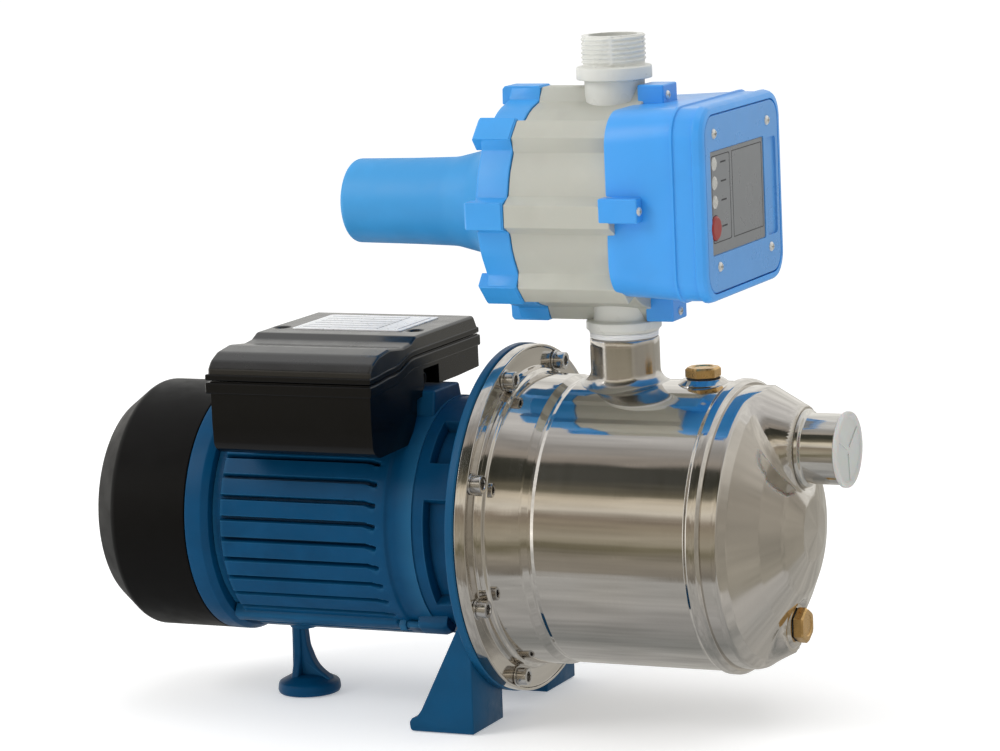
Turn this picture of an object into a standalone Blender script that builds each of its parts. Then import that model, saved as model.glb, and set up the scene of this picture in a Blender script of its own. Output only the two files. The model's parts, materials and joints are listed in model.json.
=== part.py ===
"""Self-priming stainless steel jet pump with its motor, and an automatic pressure controller on its outlet.

The pump axis is X, with the suction inlet at +X and the fan at -X. Z is up. Every dimension below is in
millimetres from the datum: the centre of the casing flange's front face, on the shaft's axis. The
pump_frame empty puts that datum where the whole object stands on Z = 0, centred on X and Y.
"""

from math import atan2, cos, degrees, pi, radians, sin, sqrt

import bmesh
import bpy
from mathutils import Matrix, Vector

MM = 0.001

# Driving dimensions.
AXIS_HEIGHT = 101.5
FAN_END_X = -232.5
CAP_END_X = 174.0

FLANGE_R = 90.5
FLANGE_THICK = 6.0
BARREL_R = 74.0
BARREL_END_X = 119.7
SHEET = 1.6
DOME_APEX_X = 155.5

HOUSING_REAR_X = -160.0
HOUSING_FRONT_X = -51.0
FIN_R = 64.0
FIN_ROOT_R = 59.0
HOUSING_BORE_R = 54.5
FIN_COUNT = 36
BOX_PAD_END_X = -43.0
TIE_ANGLE = 37.0

BRACKET_R = 91.0
BRACKET_BACK_X = -11.0
BRACKET_FRONT_X = -6.3
NECK_R = 62.0
LEG_Y = (28.0, 66.0)

REAR_RING_R = 66.7
FAN_COVER_X = -173.7
REAR_FOOT_X = -139.0
REAR_FOOT_R = 17.0

BOLT_COUNT = 8
BOLT_CIRCLE_R = 84.0
BOLT_FIRST_ANGLE = 22.5

INLET_Z = 41.75
DRAIN_Z = -50.0
DRAIN_SEAT_X = 141.5
FILL_X = 96.0
WASHER_R = 8.6

OUTLET_X = 53.4
PIPE_R = 17.9
PIPE_BORE_R = 16.9
PIPE_TOP_Z = 96.6
CONTROLLER_Z = 165.5
NIPPLE_R = 16.6
NIPPLE_BORE_R = 12.5
NIPPLE_FOOT_Z = 229.2
NIPPLE_TOP_Z = 251.5
CHAMBER_R = 53.5
RIB_R = 60.0
RIB_HALF = 6.5
LUG_HALF = 7.5
CAVITY_R = 44.0
BODY_X = (15.3, 67.7)
BOX_Z = 170.0
BOX_X = (68.0, 121.0)
BOX_HALF = (56.0, 49.0)
PANEL_HALF = (51.5, 45.2)
PANEL_X = (118.0, 122.5)
LABEL_Y = (-43.0, 31.0)
LABEL_Z = (144.5, 196.5)
INDICATOR_Y = -37.5
INDICATOR_Z = (171.0, 180.5, 190.0)
BUTTON_Z = 158.0

BOX_LEFT_X = -145.0
BOX_RIGHT_X = -50.0
LID_TOP_Z = 99.0
LID_SCREW_X = (-137.5, -60.5)

GAP = 0.3

MOTOR_BLUE = ((0.03, 0.13, 0.26), 0.35, 0.0)
FAN_BLACK = ((0.02, 0.02, 0.022), 0.5, 0.0)
BOX_BLACK = ((0.015, 0.015, 0.016), 0.3, 0.0)
STAINLESS = ((0.68, 0.66, 0.62), 0.12, 1.0)
STEEL = ((0.5, 0.5, 0.5), 0.35, 1.0)
COPPER = ((0.72, 0.33, 0.16), 0.4, 1.0)
BRASS = ((0.62, 0.42, 0.18), 0.3, 1.0)
RUBBER = ((0.02, 0.02, 0.02), 0.7, 0.0)
CERAMIC = ((0.8, 0.78, 0.72), 0.3, 0.0)
NORYL = ((0.05, 0.05, 0.06), 0.45, 0.0)
GREY_PLASTIC = ((0.6, 0.6, 0.54), 0.45, 0.0)
BRIGHT_BLUE = ((0.06, 0.35, 0.9), 0.35, 0.0)
PANEL_BLUE = ((0.1, 0.26, 0.62), 0.4, 0.0)
LABEL_GREY = ((0.3, 0.3, 0.32), 0.4, 0.0)
WHITE = ((0.8, 0.8, 0.8), 0.5, 0.0)
RED = ((0.55, 0.04, 0.04), 0.35, 0.0)
BOARD_GREEN = ((0.02, 0.2, 0.08), 0.5, 0.0)


def clear_scene():
    for obj in list(bpy.data.objects):
        bpy.data.objects.remove(obj, do_unlink=True)


def make_frame():
    frame = bpy.data.objects.new("pump_frame", None)
    bpy.context.scene.collection.objects.link(frame)
    centre_x = (FAN_END_X + CAP_END_X) / 2
    frame.location = (-centre_x * MM, 0, AXIS_HEIGHT * MM)
    return frame


def material(name, look):
    colour, roughness, metallic = look
    mat = bpy.data.materials.new(name)
    mat.use_nodes = True
    shader = mat.node_tree.nodes["Principled BSDF"]
    shader.inputs["Base Color"].default_value = (*colour, 1)
    shader.inputs["Roughness"].default_value = roughness
    shader.inputs["Metallic"].default_value = metallic
    return mat


def place(name, bm, look=None, at=(0, 0, 0), smooth=30):
    """Makes an object of the mesh, in millimetres, with its origin at the point given. No look: a tool."""
    bmesh.ops.remove_doubles(bm, verts=bm.verts, dist=0.001)
    bmesh.ops.recalc_face_normals(bm, faces=bm.faces)
    bm.transform(Matrix.Scale(MM, 4))
    mesh = bpy.data.meshes.new(name)
    bm.to_mesh(mesh)
    bm.free()
    mesh.shade_smooth()
    mesh.set_sharp_from_angle(angle=radians(smooth))
    obj = bpy.data.objects.new(name, mesh)
    bpy.context.scene.collection.objects.link(obj)
    obj.parent = bpy.data.objects["pump_frame"]
    obj.location = Vector(at) * MM
    if look is None:
        obj.hide_render = True
        obj.display_type = "WIRE"
    else:
        mesh.materials.append(material(name, look))
    return obj


def turn_to(bm, axis):
    """Turns a shape built along X so that it lies along Y or Z."""
    if axis == "Z":
        bm.transform(Matrix.Rotation(-pi / 2, 4, "Y"))
    elif axis == "Y":
        bm.transform(Matrix.Rotation(pi / 2, 4, "Z"))


def turned(name, profile, look=None, axis="X", at=(0, 0, 0), steps=28):
    """A turned solid: the closed profile of (along, radius) points goes round the axis through the point."""
    bm = bmesh.new()
    verts = [bm.verts.new((along, 0, radius)) for along, radius in profile]
    edges = [bm.edges.new(pair) for pair in zip(verts, verts[1:])]
    if profile[0][1] > 0 or profile[-1][1] > 0:
        edges.append(bm.edges.new((verts[-1], verts[0])))
    outline = verts + edges
    bmesh.ops.spin(bm, geom=outline, cent=(0, 0, 0), axis=(1, 0, 0), angle=2 * pi, steps=steps, use_merge=True)
    turn_to(bm, axis)
    return place(name, bm, look, at)


def tube(name, ends, outer, inner, look=None, axis="X", at=(0, 0, 0), steps=28):
    profile = [(ends[0], outer), (ends[1], outer), (ends[1], inner), (ends[0], inner)]
    return turned(name, profile, look, axis, at, steps)


def rod(name, ends, radius, look=None, axis="X", at=(0, 0, 0), steps=20):
    profile = [(ends[0], 0), (ends[0], radius), (ends[1], radius), (ends[1], 0)]
    return turned(name, profile, look, axis, at, steps)


def extruded(name, outline, ends, look=None, axis="X", at=(0, 0, 0)):
    """A prism. The outline is (Y, Z) points for axis X, (X, Z) for Y and (X, Y) for Z."""
    bm = bmesh.new()
    first, last = ends
    if axis == "X":
        points = [(first, u, v) for u, v in outline]
        step = (last - first, 0, 0)
    elif axis == "Y":
        points = [(u, first, v) for u, v in outline]
        step = (0, last - first, 0)
    else:
        points = [(u, v, first) for u, v in outline]
        step = (0, 0, last - first)
    face = bm.faces.new([bm.verts.new(point) for point in points])
    grown = bmesh.ops.extrude_face_region(bm, geom=[face])["geom"]
    moved = [item for item in grown if isinstance(item, bmesh.types.BMVert)]
    bmesh.ops.translate(bm, vec=step, verts=moved)
    return place(name, bm, look, at)


def block(name, low, high, look=None, at=(0, 0, 0)):
    outline = [(low[0], low[1]), (high[0], low[1]), (high[0], high[1]), (low[0], high[1])]
    return extruded(name, outline, (low[2], high[2]), look, "Z", at)


def boolean(target, tool, operation):
    modifier = target.modifiers.new(f"{operation.lower()} {tool.name}", "BOOLEAN")
    modifier.operation = operation
    modifier.object = tool


def cut(target, *tools):
    for tool in tools:
        boolean(target, tool, "DIFFERENCE")


def join(target, *tools):
    for tool in tools:
        boolean(target, tool, "UNION")


def merge_tools(name, tools):
    """Several tools, which don't touch each other, as one tool."""
    bm = bmesh.new()
    for tool in tools:
        tool.data.transform(Matrix.Translation(tool.location))
        bm.from_mesh(tool.data)
        bpy.data.objects.remove(tool)
    bm.transform(Matrix.Scale(1 / MM, 4))
    return place(name, bm)


def polar(radius, angle, centre=(0, 0)):
    """The point at this radius and angle, in degrees, from the centre."""
    return (centre[0] + radius * cos(radians(angle)), centre[1] + radius * sin(radians(angle)))


def arc(centre, radius, start, end, steps):
    """Points from the start angle to the end angle, in degrees."""
    return [polar(radius, start + (end - start) * i / steps, centre) for i in range(steps + 1)]


def rounded_rectangle(half_u, half_v, radius, centre=(0, 0), steps=4):
    points = []
    for quarter, (u, v) in enumerate(((1, 1), (-1, 1), (-1, -1), (1, -1))):
        corner = (centre[0] + u * (half_u - radius), centre[1] + v * (half_v - radius))
        points += arc(corner, radius, 90 * quarter, 90 * quarter + 90, steps)
    return points


def ribbed_outline(root_r, rib_r, half_width, count=8, centre=(0, 0)):
    """A round outline with square ribs, one at the angle 0."""
    points = []
    root_edge = sqrt(root_r**2 - half_width**2)
    half_angle = degrees(atan2(half_width, root_edge))
    for rib in range(count):
        turn = 360 * rib / count
        for along, across in ((root_edge, -1), (rib_r, -1), (rib_r, 1), (root_edge, 1)):
            corner = Vector((along, across * half_width))
            corner.rotate(Matrix.Rotation(radians(turn), 2))
            points.append((centre[0] + corner.x, centre[1] + corner.y))
        points.append(polar(root_r, turn + 180 / count - 5, centre))
        points.append(polar(root_r, turn + 180 / count + 5, centre))
    return points


# Motor.


def tie_bars(name, ends, half_width, radius):
    """The bars or bosses that hold the two lower tie bolts, one on each side."""
    bars = []
    for side, turn in (("near", 180 - TIE_ANGLE), ("far", 180 + TIE_ANGLE)):
        bar = block(f"{name}_{side}", (ends[0], -half_width, 58), (ends[1], half_width, radius))
        bar.data.transform(Matrix.Rotation(radians(turn), 4, "X"))
        bars.append(bar)
    return bars


def motor_housing():
    points = []
    for fin in range(FIN_COUNT):
        turn = 360 * fin / FIN_COUNT
        for radius, offset in ((FIN_ROOT_R, -4.2), (FIN_R, -3.5), (FIN_R, 3.5), (FIN_ROOT_R, 4.2)):
            points.append(polar(radius, turn + offset))
    ends = (HOUSING_REAR_X, HOUSING_FRONT_X)
    housing = extruded("motor_housing", points, ends, MOTOR_BLUE)
    pad = block("box_pad", (-138, -22, 54), (BOX_PAD_END_X, 8, 69.6))
    boss = block("foot_boss", (-150, -9, -64.5), (-134, 9, -55.5))
    join(housing, pad, boss, *tie_bars("tie_bar", (-158, -62), 4, 66.8))
    bore = rod("housing_bore", (HOUSING_REAR_X - 1, HOUSING_FRONT_X + 1), HOUSING_BORE_R, steps=32)
    neck_relief = rod("neck_relief", (HOUSING_FRONT_X, BOX_PAD_END_X + 2), NECK_R + GAP, steps=64)
    cut(housing, bore, neck_relief, rod("lead_hole", (50, 75), 8, axis="Z", at=(-70, 0, 0), steps=12))


def stator():
    tube("stator_core", (-140, -75), 54, 31, STEEL, steps=24)
    tube("winding_rear", (-157, -140.4), 51, 33, COPPER, steps=16)
    tube("winding_front", (-74.6, -58), 51, 33, COPPER, steps=16)


def rotor():
    profile = [(-212, 0), (-212, 6), (-172.5, 6), (-172.5, 7.5), (-158, 7.5), (-158, 10), (-55, 10)]
    profile += [(-55, 8.5), (-30, 8.5), (-30, 7), (6, 7), (6, 5.7), (19.5, 5.7), (19.5, 0)]
    turned("rotor_shaft", profile, STEEL, steps=16)
    tube("rotor_core", (-140, -75), 30.5, 10 + GAP, STEEL, steps=16)
    tube("bearing_rear", (-171, -160.6), 17.5, 7.5 + GAP, STEEL, steps=16)
    tube("bearing_front", (-46, -34), 20, 8.5 + GAP, STEEL, steps=16)


def rear_bracket():
    profile = [(-160.3, REAR_RING_R), (-173.4, REAR_RING_R), (-173.4, 62), (-166, 62), (-166, 24)]
    profile += [(-173.4, 24), (-173.4, 8.5), (-171.3, 8.5), (-171.3, 17.8), (-160.3, 17.8)]
    turned("rear_bracket", profile, MOTOR_BLUE)


def cooling_fan():
    blades = 7
    points = []
    for blade in range(blades):
        turn = 360 * blade / blades
        points.append(polar(12, turn - 12))
        points += arc((0, 0), 55, turn - 1.5, turn + 1.5, 1)
        points.append(polar(12, turn + 12))
    fan = extruded("cooling_fan", points, (-202, -185), NORYL)
    join(fan, rod("fan_disc", (-186, -183.5), 54), rod("fan_hub", (-203, -180), 12.6, steps=14))
    cut(fan, rod("fan_bore", (-205, -178), 6 + GAP, steps=16))


def fan_cover():
    inside = [(-230.3, 0), (-230.3, 53.5), (-216.5, 64.6), (FAN_COVER_X, 64.6)]
    outside = [(FAN_COVER_X, 66.6), (-217.5, 66.6), (-231.5, 55.8), (FAN_END_X, 54), (FAN_END_X, 0)]
    cover = turned("fan_cover", inside + outside, FAN_BLACK)
    slots = []
    count = 12
    for index in range(count):
        turn = radians(360 * index / count)
        inner = 20 if index % 2 else 30
        slot = block("air_slot", (-234, -1.6, inner), (-229, 1.6, 49))
        slot.data.transform(Matrix.Rotation(turn, 4, "X"))
        slots.append(slot)
    cut(cover, merge_tools("air_slots", slots))


# Bracket and feet.


def leg_profile():
    """The (X, Z) outline of a leg: a wedge that leans back to a toe, with a flat sole."""
    sole = -AXIS_HEIGHT
    return [(-10.6, -40), (-15, -41), (-18.5, -47), (-41.6, -91.5), (-43, -94.3), (-46, -95), (-47.6, -97),
            (-47.4, -99.8), (-45.5, sole), (-11.5, sole), (-10.6, -99)]


def front_bracket():
    profile = [(BRACKET_FRONT_X, BRACKET_R), (BRACKET_BACK_X, BRACKET_R), (BRACKET_BACK_X, 66), (-14, NECK_R)]
    profile += [(-50.7, NECK_R), (-50.7, 20 + GAP), (-32, 20 + GAP), (-32, 25), (-45, 25), (-45, 57)]
    profile += [(BRACKET_BACK_X, 57), (BRACKET_BACK_X, 40), (BRACKET_FRONT_X, 40)]
    bracket = turned("front_bracket", profile, MOTOR_BLUE, steps=32)
    for name, side in (("leg_near", -1), ("leg_far", 1)):
        leg = extruded(name, leg_profile(), (side * LEG_Y[0], side * LEG_Y[1]), axis="Y")
        cut(leg, rod(f"{name}_relief", (-49, -12), NECK_R - 2, steps=32))
        join(bracket, leg)
    join(bracket, *tie_bars("tie_boss", (-50.7, -34), 6, 68))
    cut(bracket, *bolt_holes("bracket_hole", (-17, -5), 3.4))


def bolt_angles():
    return [radians(BOLT_FIRST_ANGLE + 360 * index / BOLT_COUNT) for index in range(BOLT_COUNT)]


def bolt_places():
    return [(0, BOLT_CIRCLE_R * cos(a), BOLT_CIRCLE_R * sin(a)) for a in bolt_angles()]


def bolt_holes(name, ends, radius):
    tools = []
    for at in bolt_places():
        tool = rod(name, ends, radius, steps=8)
        tool.location = Vector(at) * MM
        tools.append(tool)
    return [merge_tools(f"{name}s", tools)]


def rear_foot():
    """A round foot on a stem with a gusset towards the pump."""
    sole = -AXIS_HEIGHT
    base = [(sole, 0), (sole, REAR_FOOT_R - 1), (sole + 1.5, REAR_FOOT_R), (sole + 5, REAR_FOOT_R)]
    base += [(sole + 8, 14), (sole + 9.5, 9), (sole + 9.5, 0)]
    foot = turned("rear_foot", base, MOTOR_BLUE, axis="Z", at=(REAR_FOOT_X, 0, 0), steps=20)
    stem = [(-148, sole + 4), (-148, -64.8), (-139.5, -64.8), (-139.5, -70)]
    stem += [(-132, sole + 8), (-132, sole + 4)]
    join(foot, extruded("foot_stem", stem, (-4.5, 4.5), axis="Y"))


# Terminal box.


def seam(lift=0.0):
    """The (Y, Z) line where the box and its lid meet, rising towards the back."""
    return [(-87, 82 + lift), (-62, 83.3 + lift), (-48, 85.5 + lift), (-37, 88.7 + lift), (47, 88.7 + lift)]


def terminal_box():
    underside = [(47, 70), (-24, 70), (-24, 66), (-33, 66), (-33, 59), (-36.5, 55), (-46, 46.8), (-50, 44)]
    underside += [(-82, 44), (-87, 49)]
    base = extruded("terminal_box_base", seam() + underside, (BOX_LEFT_X, BOX_RIGHT_X), BOX_BLACK)
    hollow = [(-84.5, 100), (-84.5, 50), (-81, 46.5), (-50.5, 46.5), (-36, 59), (-35.5, 72.5)]
    hollow += [(44.5, 72.5), (44.5, 100)]
    cut(base, extruded("box_hollow", hollow, (BOX_LEFT_X + 2.5, BOX_RIGHT_X - 2.5)))
    cut(base, block("cable_window", (-58, -22, 73), (-49, -4, 81)))
    cut(base, rod("wire_hole", (60, 75), 8, axis="Z", at=(-70, 0, 0), steps=12))

    top = [(47, LID_TOP_Z - 5), (45, LID_TOP_Z - 1.5), (40, LID_TOP_Z), (-28, LID_TOP_Z)]
    top += [(-33, 97.8), (-38, 96.2), (-45, 95.6), (-52, 96.3), (-61, 97), (-70, 96.2), (-77, 94.2)]
    top += [(-82.4, 91), (-85.6, 87)]
    lid = extruded("terminal_box_cover", seam(GAP) + top, (BOX_LEFT_X + 1.5, BOX_RIGHT_X), BOX_BLACK)
    inside = [(-84.2, 70), (-84, 86), (-80, 88.8), (-66, 92.4), (-40, 92.8), (-30, 96.4)]
    inside += [(40, 96.4), (44.6, 92), (44.6, 70)]
    cut(lid, extruded("lid_hollow", inside, (BOX_LEFT_X + 4, BOX_RIGHT_X - 2.5)))
    holes = [rod("screw_hole", (90, 101), 2.6, axis="Z", at=(x, -12, 0), steps=12) for x in LID_SCREW_X]
    cut(lid, merge_tools("screw_holes", holes))
    block("rating_plate", (-130, -17, LID_TOP_Z + GAP), (-66, 31, LID_TOP_Z + 0.9), WHITE)


def terminal_box_contents():
    rod("capacitor", (-138, -70), 14, WHITE, at=(0, -66, 63), steps=16)
    block("terminal_block", (-118, -16, 73), (-76, 14, 84), CERAMIC)
    gland = block("cable_gland", (-57, -21.6, 73.3), (-52.4, -4.4, 80.7), RUBBER)
    cut(gland, rod("cable_bore", (-60, -50), 2.6, at=(0, -13, 77), steps=10))


# Pump.


def pump_casing():
    """The drawn barrel with its flange, a step, a rolled bead and the seam where the head is welded on."""
    back = -FLANGE_THICK
    outer = [(back, FLANGE_R), (0, FLANGE_R), (0, 78.4), (4, 75.2), (27, 75.2), (29, BARREL_R)]
    outer += [(112.5, BARREL_R), (115, 75), (BARREL_END_X, 73.4)]
    inner = [(BARREL_END_X, 71.8), (5, 72.4), (1, 76.8), (back, 76.8)]
    casing = turned("pump_casing", outer + inner, STAINLESS, steps=32)
    cut(casing, *bolt_holes("casing_hole", (-8, 2), 3.3))
    cut(casing, rod("outlet_hole", (60, 90), 15, axis="Z", at=(OUTLET_X, 0, 0), steps=16))
    cut(casing, rod("fill_hole", (60, 90), 6.6, axis="Z", at=(FILL_X, 0, 0), steps=12))


def dome_profile(inset=0.0):
    """The head's side: a straight skirt, a tight knuckle and a crown that is nearly a cone."""
    side = [(127.5, 72), (131.5, 67), (141.5, 48), (148.5, 33), (153.5, 17)]
    points = [(120, 0), (120, 72.5 - inset)]
    points += [(x - inset, radius - inset) for x, radius in side]
    return points + [(DOME_APEX_X - inset, 0)]


def casing_head():
    head = turned("casing_head", dome_profile(), STAINLESS, steps=32)
    hollow = turned("head_hollow", [(118, 0), (118, 70.9)] + dome_profile(SHEET)[2:], steps=32)
    boss = [(123, 0), (123, 24), (147, 24), (149.5, 22.6), (150.5, 20), (150.5, 0)]
    inlet_boss = turned("inlet_boss", boss, at=(0, 0, INLET_Z), steps=18)
    boss = [(131, 0), (131, 18), (139, 18), (DRAIN_SEAT_X, 15.5), (DRAIN_SEAT_X, 0)]
    drain_boss = turned("drain_boss", boss, at=(0, 0, DRAIN_Z), steps=14)
    cut(head, hollow)
    join(head, inlet_boss, drain_boss)
    cut(head, rod("inlet_hollow", (120, 148.5), 22, at=(0, 0, INLET_Z), steps=18))
    cut(head, rod("inlet_hole", (140, 158), 15.3, at=(0, 0, INLET_Z), steps=16))
    cut(head, rod("inlet_spot_face", (150.5, 158), 18.4, at=(0, 0, INLET_Z), steps=24))
    cut(head, rod("drain_spot_face", (DRAIN_SEAT_X, 160), 11, at=(0, 0, DRAIN_Z), steps=14))
    cut(head, rod("drain_hole", (120, 145), 6.6, at=(0, 0, DRAIN_Z), steps=12))


def inlet():
    tube("inlet_socket", (150.5 + GAP, 171), 18, 15.3, STAINLESS, at=(0, 0, INLET_Z), steps=20)
    plug_side = [(171, 0), (171, 13.4), (161, 13.4), (161, 14.9), (171 + GAP, 14.9)]
    rim_side = [(171 + GAP, 19.3), (CAP_END_X, 19.3), (CAP_END_X, 16.5), (172.6, 14.5), (172.6, 0)]
    turned("inlet_cap", plug_side + rim_side, WHITE, at=(0, 0, INLET_Z), steps=20)


def outlet_pipe():
    pipe = tube("discharge_pipe", (68, PIPE_TOP_Z), PIPE_R, PIPE_BORE_R, STAINLESS, "Z", (OUTLET_X, 0, 0), 20)
    cut(pipe, rod("barrel_relief", (20, 90), BARREL_R + GAP + 0.1, steps=64))
    tube("thread_tape", (PIPE_TOP_Z + GAP, 99.9), 17.6, NIPPLE_R + GAP, WHITE, "Z", (OUTLET_X, 0, 0), 20)


def hex_plug(name, seat, length, axis, at):
    """A brass hexagon plug: the head stands on the seat, and the shank goes in."""
    head = [(seat, 0), (seat, 9.2), (seat + 4.2, 9.2), (seat + 5, 8.2), (seat + 5, 0)]
    plug = turned(name, head, BRASS, axis, at, steps=6)
    join(plug, rod(f"{name}_shank", (seat - length, seat + 1), 6, axis=axis, at=at, steps=14))


def plugs():
    fill = (FILL_X, 0, 0)
    drain = (0, 0, DRAIN_Z)
    hex_plug("fill_plug", 77, 10, "Z", fill)
    tube("fill_washer", (BARREL_R + GAP + 0.1, 77 - GAP), WASHER_R, 6 + GAP, RUBBER, "Z", fill, 14)
    hex_plug("drain_plug", DRAIN_SEAT_X + 2, 10, "X", drain)
    washer = (DRAIN_SEAT_X + GAP, DRAIN_SEAT_X + 2 - GAP)
    tube("drain_washer", washer, WASHER_R, 6 + GAP, RUBBER, "X", drain, 14)


def flange_bolts():
    """Socket screws with their heads on the casing flange."""
    profile = [(-14, 0), (-14, 3), (GAP, 3), (GAP, 5), (5.6, 5), (6, 4.6), (6, 2.6), (3.2, 2.6), (3.2, 0)]
    for index, at in enumerate(bolt_places(), 1):
        turned(f"flange_bolt_{index}", profile, STEEL, at=at, steps=12)


# Pump internals.


def seals():
    tube("casing_oring", (-3.4, -1), 76.3, 73.4, RUBBER, steps=24)
    tube("seal_plate", (-5.7, -3.7), 76.3, 13.3, STAINLESS, steps=24)
    tube("seal_seat", (-8, -3.9), 13, 7.6, CERAMIC, steps=16)
    tube("seal_head", (-3.5, -1.4), 12.5, 7 + GAP, RUBBER, steps=16)


def vane_outline(count, hub_r, tip_r, thick, sweep):
    """A hub with swept-back vanes, as one outline."""
    points = []
    steps = 2
    for vane in range(count):
        turn = 360 * vane / count
        for side, order in ((-1, range(steps + 1)), (1, range(steps, -1, -1))):
            for step in order:
                radius = hub_r + (tip_r - hub_r) * step / steps
                spread = side * 90 * thick / (pi * radius)
                points.append(polar(radius, turn - sweep * step / steps + spread))
    return points


def impeller():
    hub = [(-1.1, 7.3), (-1.1, 58), (1.4, 58), (1.4, 14), (13, 14), (13, 7.3)]
    wheel = turned("impeller", hub, STAINLESS, steps=20)
    vanes = extruded("vanes", vane_outline(6, 13.5, 57.5, 2, 55), (1, 7))
    cut(vanes, rod("vane_bore", (0, 8), 10, steps=16))
    join(wheel, vanes, tube("front_shroud", (6.5, 8.5), 58, 20, steps=20))
    nut = turned("impeller_nut", [(13.3, 7), (13.3, 10.5), (18.6, 10.5), (18.6, 7)], STEEL, steps=6)
    nut.data.shade_flat()


def hydraulics():
    diffuser = [(-1, 66), (-1, 60.5), (10.5, 60.5), (10.5, 21), (24, 21), (24, 24), (13.5, 24), (13.5, 66)]
    turned("diffuser", diffuser, NORYL, steps=20)
    ejector = [(24.3, 21), (24.3, 24), (28, 24), (60, 12), (92, 9), (104, 14)]
    ejector += [(104, 11.5), (92, 6.5), (60, 9)]
    turned("ejector", ejector, NORYL, steps=16)
    nozzle = [(104.3, 5), (104.3, 9), (118, 14), (121, 14), (121, 12), (106, 4)]
    turned("ejector_nozzle", nozzle, BRASS, steps=16)


# Pressure controller, on the outlet.


def controller_body():
    centre = (0, CONTROLLER_Z)
    outline = ribbed_outline(CHAMBER_R, RIB_R, RIB_HALF, centre=centre)
    body = extruded("controller_body", outline, BODY_X, GREY_PLASTIC)
    at = (OUTLET_X, 0, 0)
    lower = [(82, 0), (82, NIPPLE_R), (100, NIPPLE_R), (100.2, 19.2), (105.8, 19.2), (106, 15.4)]
    lower += [(120.5, 15.4), (120.5, 0)]
    join(body, turned("lower_nipple", lower, axis="Z", at=at, steps=20))
    join(body, rod("upper_neck", (211, NIPPLE_FOOT_Z - GAP), 15.4, axis="Z", at=at))
    cut(body, rod("chamber", (BODY_X[0] - 1, 62), CAVITY_R, at=(0, 0, CONTROLLER_Z), steps=24))
    bore = [(80, 0), (80, 9), (111, 9), (111, NIPPLE_BORE_R), (260, NIPPLE_BORE_R), (260, 0)]
    cut(body, turned("flow_bore", bore, axis="Z", at=at, steps=16))
    join(body, block("valve_bridge", (OUTLET_X - 2, -43.9, 138), (OUTLET_X + 2, 43.9, 141)))


def outlet_nipple():
    """Moulded in one with the body in real life, and apart here so that its bore is open to collision."""
    outside = [(NIPPLE_FOOT_Z, 19.2), (236, 19.2), (236.2, NIPPLE_R), (NIPPLE_TOP_Z, NIPPLE_R)]
    bore = [(NIPPLE_TOP_Z, NIPPLE_BORE_R), (NIPPLE_FOOT_Z, NIPPLE_BORE_R)]
    turned("outlet_nipple", outside + bore, GREY_PLASTIC, "Z", (OUTLET_X, 0, 0), 24)


def controller_rear_cover():
    centre = (0, CONTROLLER_Z)
    at = (0, 0, CONTROLLER_Z)
    outline = ribbed_outline(CHAMBER_R, RIB_R + 0.4, RIB_HALF + 0.5, centre=centre)
    cover = extruded("controller_rear_cover", outline, (-4, BODY_X[0] - GAP), BRIGHT_BLUE)
    nose = [(-96, 0), (-96, 19.5), (-94, 22), (-36, 23.2), (-20, 27), (-9, 34), (-4.5, 44), (-3, 46), (-3, 0)]
    join(cover, turned("nose", nose, at=at, steps=24))
    hollow = [(-93, 0), (-93, 19), (-34, 19), (-5, 22), (2, 42), (16, 42), (16, 0)]
    cut(cover, turned("nose_hollow", hollow, at=at, steps=24))


def controller_front_box():
    centre = (0, BOX_Z)
    outline = rounded_rectangle(*BOX_HALF, 15, centre, 3)
    box = extruded("controller_front_box", outline, BOX_X, BRIGHT_BLUE)
    join(box, block("lugs_upright", (BOX_X[0], -LUG_HALF, 106), (84.6, LUG_HALF, 226.5)))
    join(box, block("lugs_across", (BOX_X[0], -RIB_R, 162.4), (87.8, RIB_R, 175)))
    hollow = rounded_rectangle(PANEL_HALF[0] + 0.6, PANEL_HALF[1] + 0.6, 11.6, centre, 3)
    cut(box, extruded("box_cavity", hollow, (BOX_X[0] + 4, BOX_X[1] + 2)))
    cut(box, rod("neck_relief", (100, 230), 15.8, axis="Z", at=(OUTLET_X, 0, 0)))


def control_panel():
    outline = rounded_rectangle(*PANEL_HALF, 11, (0, BOX_Z), 3)
    panel = extruded("control_panel", outline, PANEL_X, PANEL_BLUE)
    front = PANEL_X[1]
    low = (front + GAP, LABEL_Y[0], LABEL_Z[0])
    high = (front + 0.9, LABEL_Y[1], LABEL_Z[1])
    label = block("panel_label", low, high, LABEL_GREY)
    windows = [rod("window", (115, 125), 3.3, at=(0, INDICATOR_Y, z), steps=10) for z in INDICATOR_Z]
    windows.append(rod("window", (115, 125), 5.9, at=(0, INDICATOR_Y, BUTTON_Z), steps=14))
    windows = merge_tools("panel_windows", windows)
    cut(panel, windows)
    cut(label, windows)

    low = (112, INDICATOR_Y - 3, INDICATOR_Z[0] - 3)
    high = (116, INDICATOR_Y + 3, INDICATOR_Z[-1] + 3)
    lenses = block("indicator_lens", low, high, CERAMIC)
    for z in INDICATOR_Z:
        join(lenses, rod("lens", (114, front + 1.2), 3, at=(0, INDICATOR_Y, z), steps=10))
    button = [(115, 0), (115, 6.8), (117.2, 6.8), (117.2, 5.5), (front + 1.8, 5.5), (front + 2.4, 4.8)]
    turned("restart_button", button + [(front + 2.4, 0)], RED, at=(0, INDICATOR_Y, BUTTON_Z), steps=14)
    block("circuit_board", (108, -44, 134), (109.6, 44, 206), BOARD_GREEN)


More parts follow.
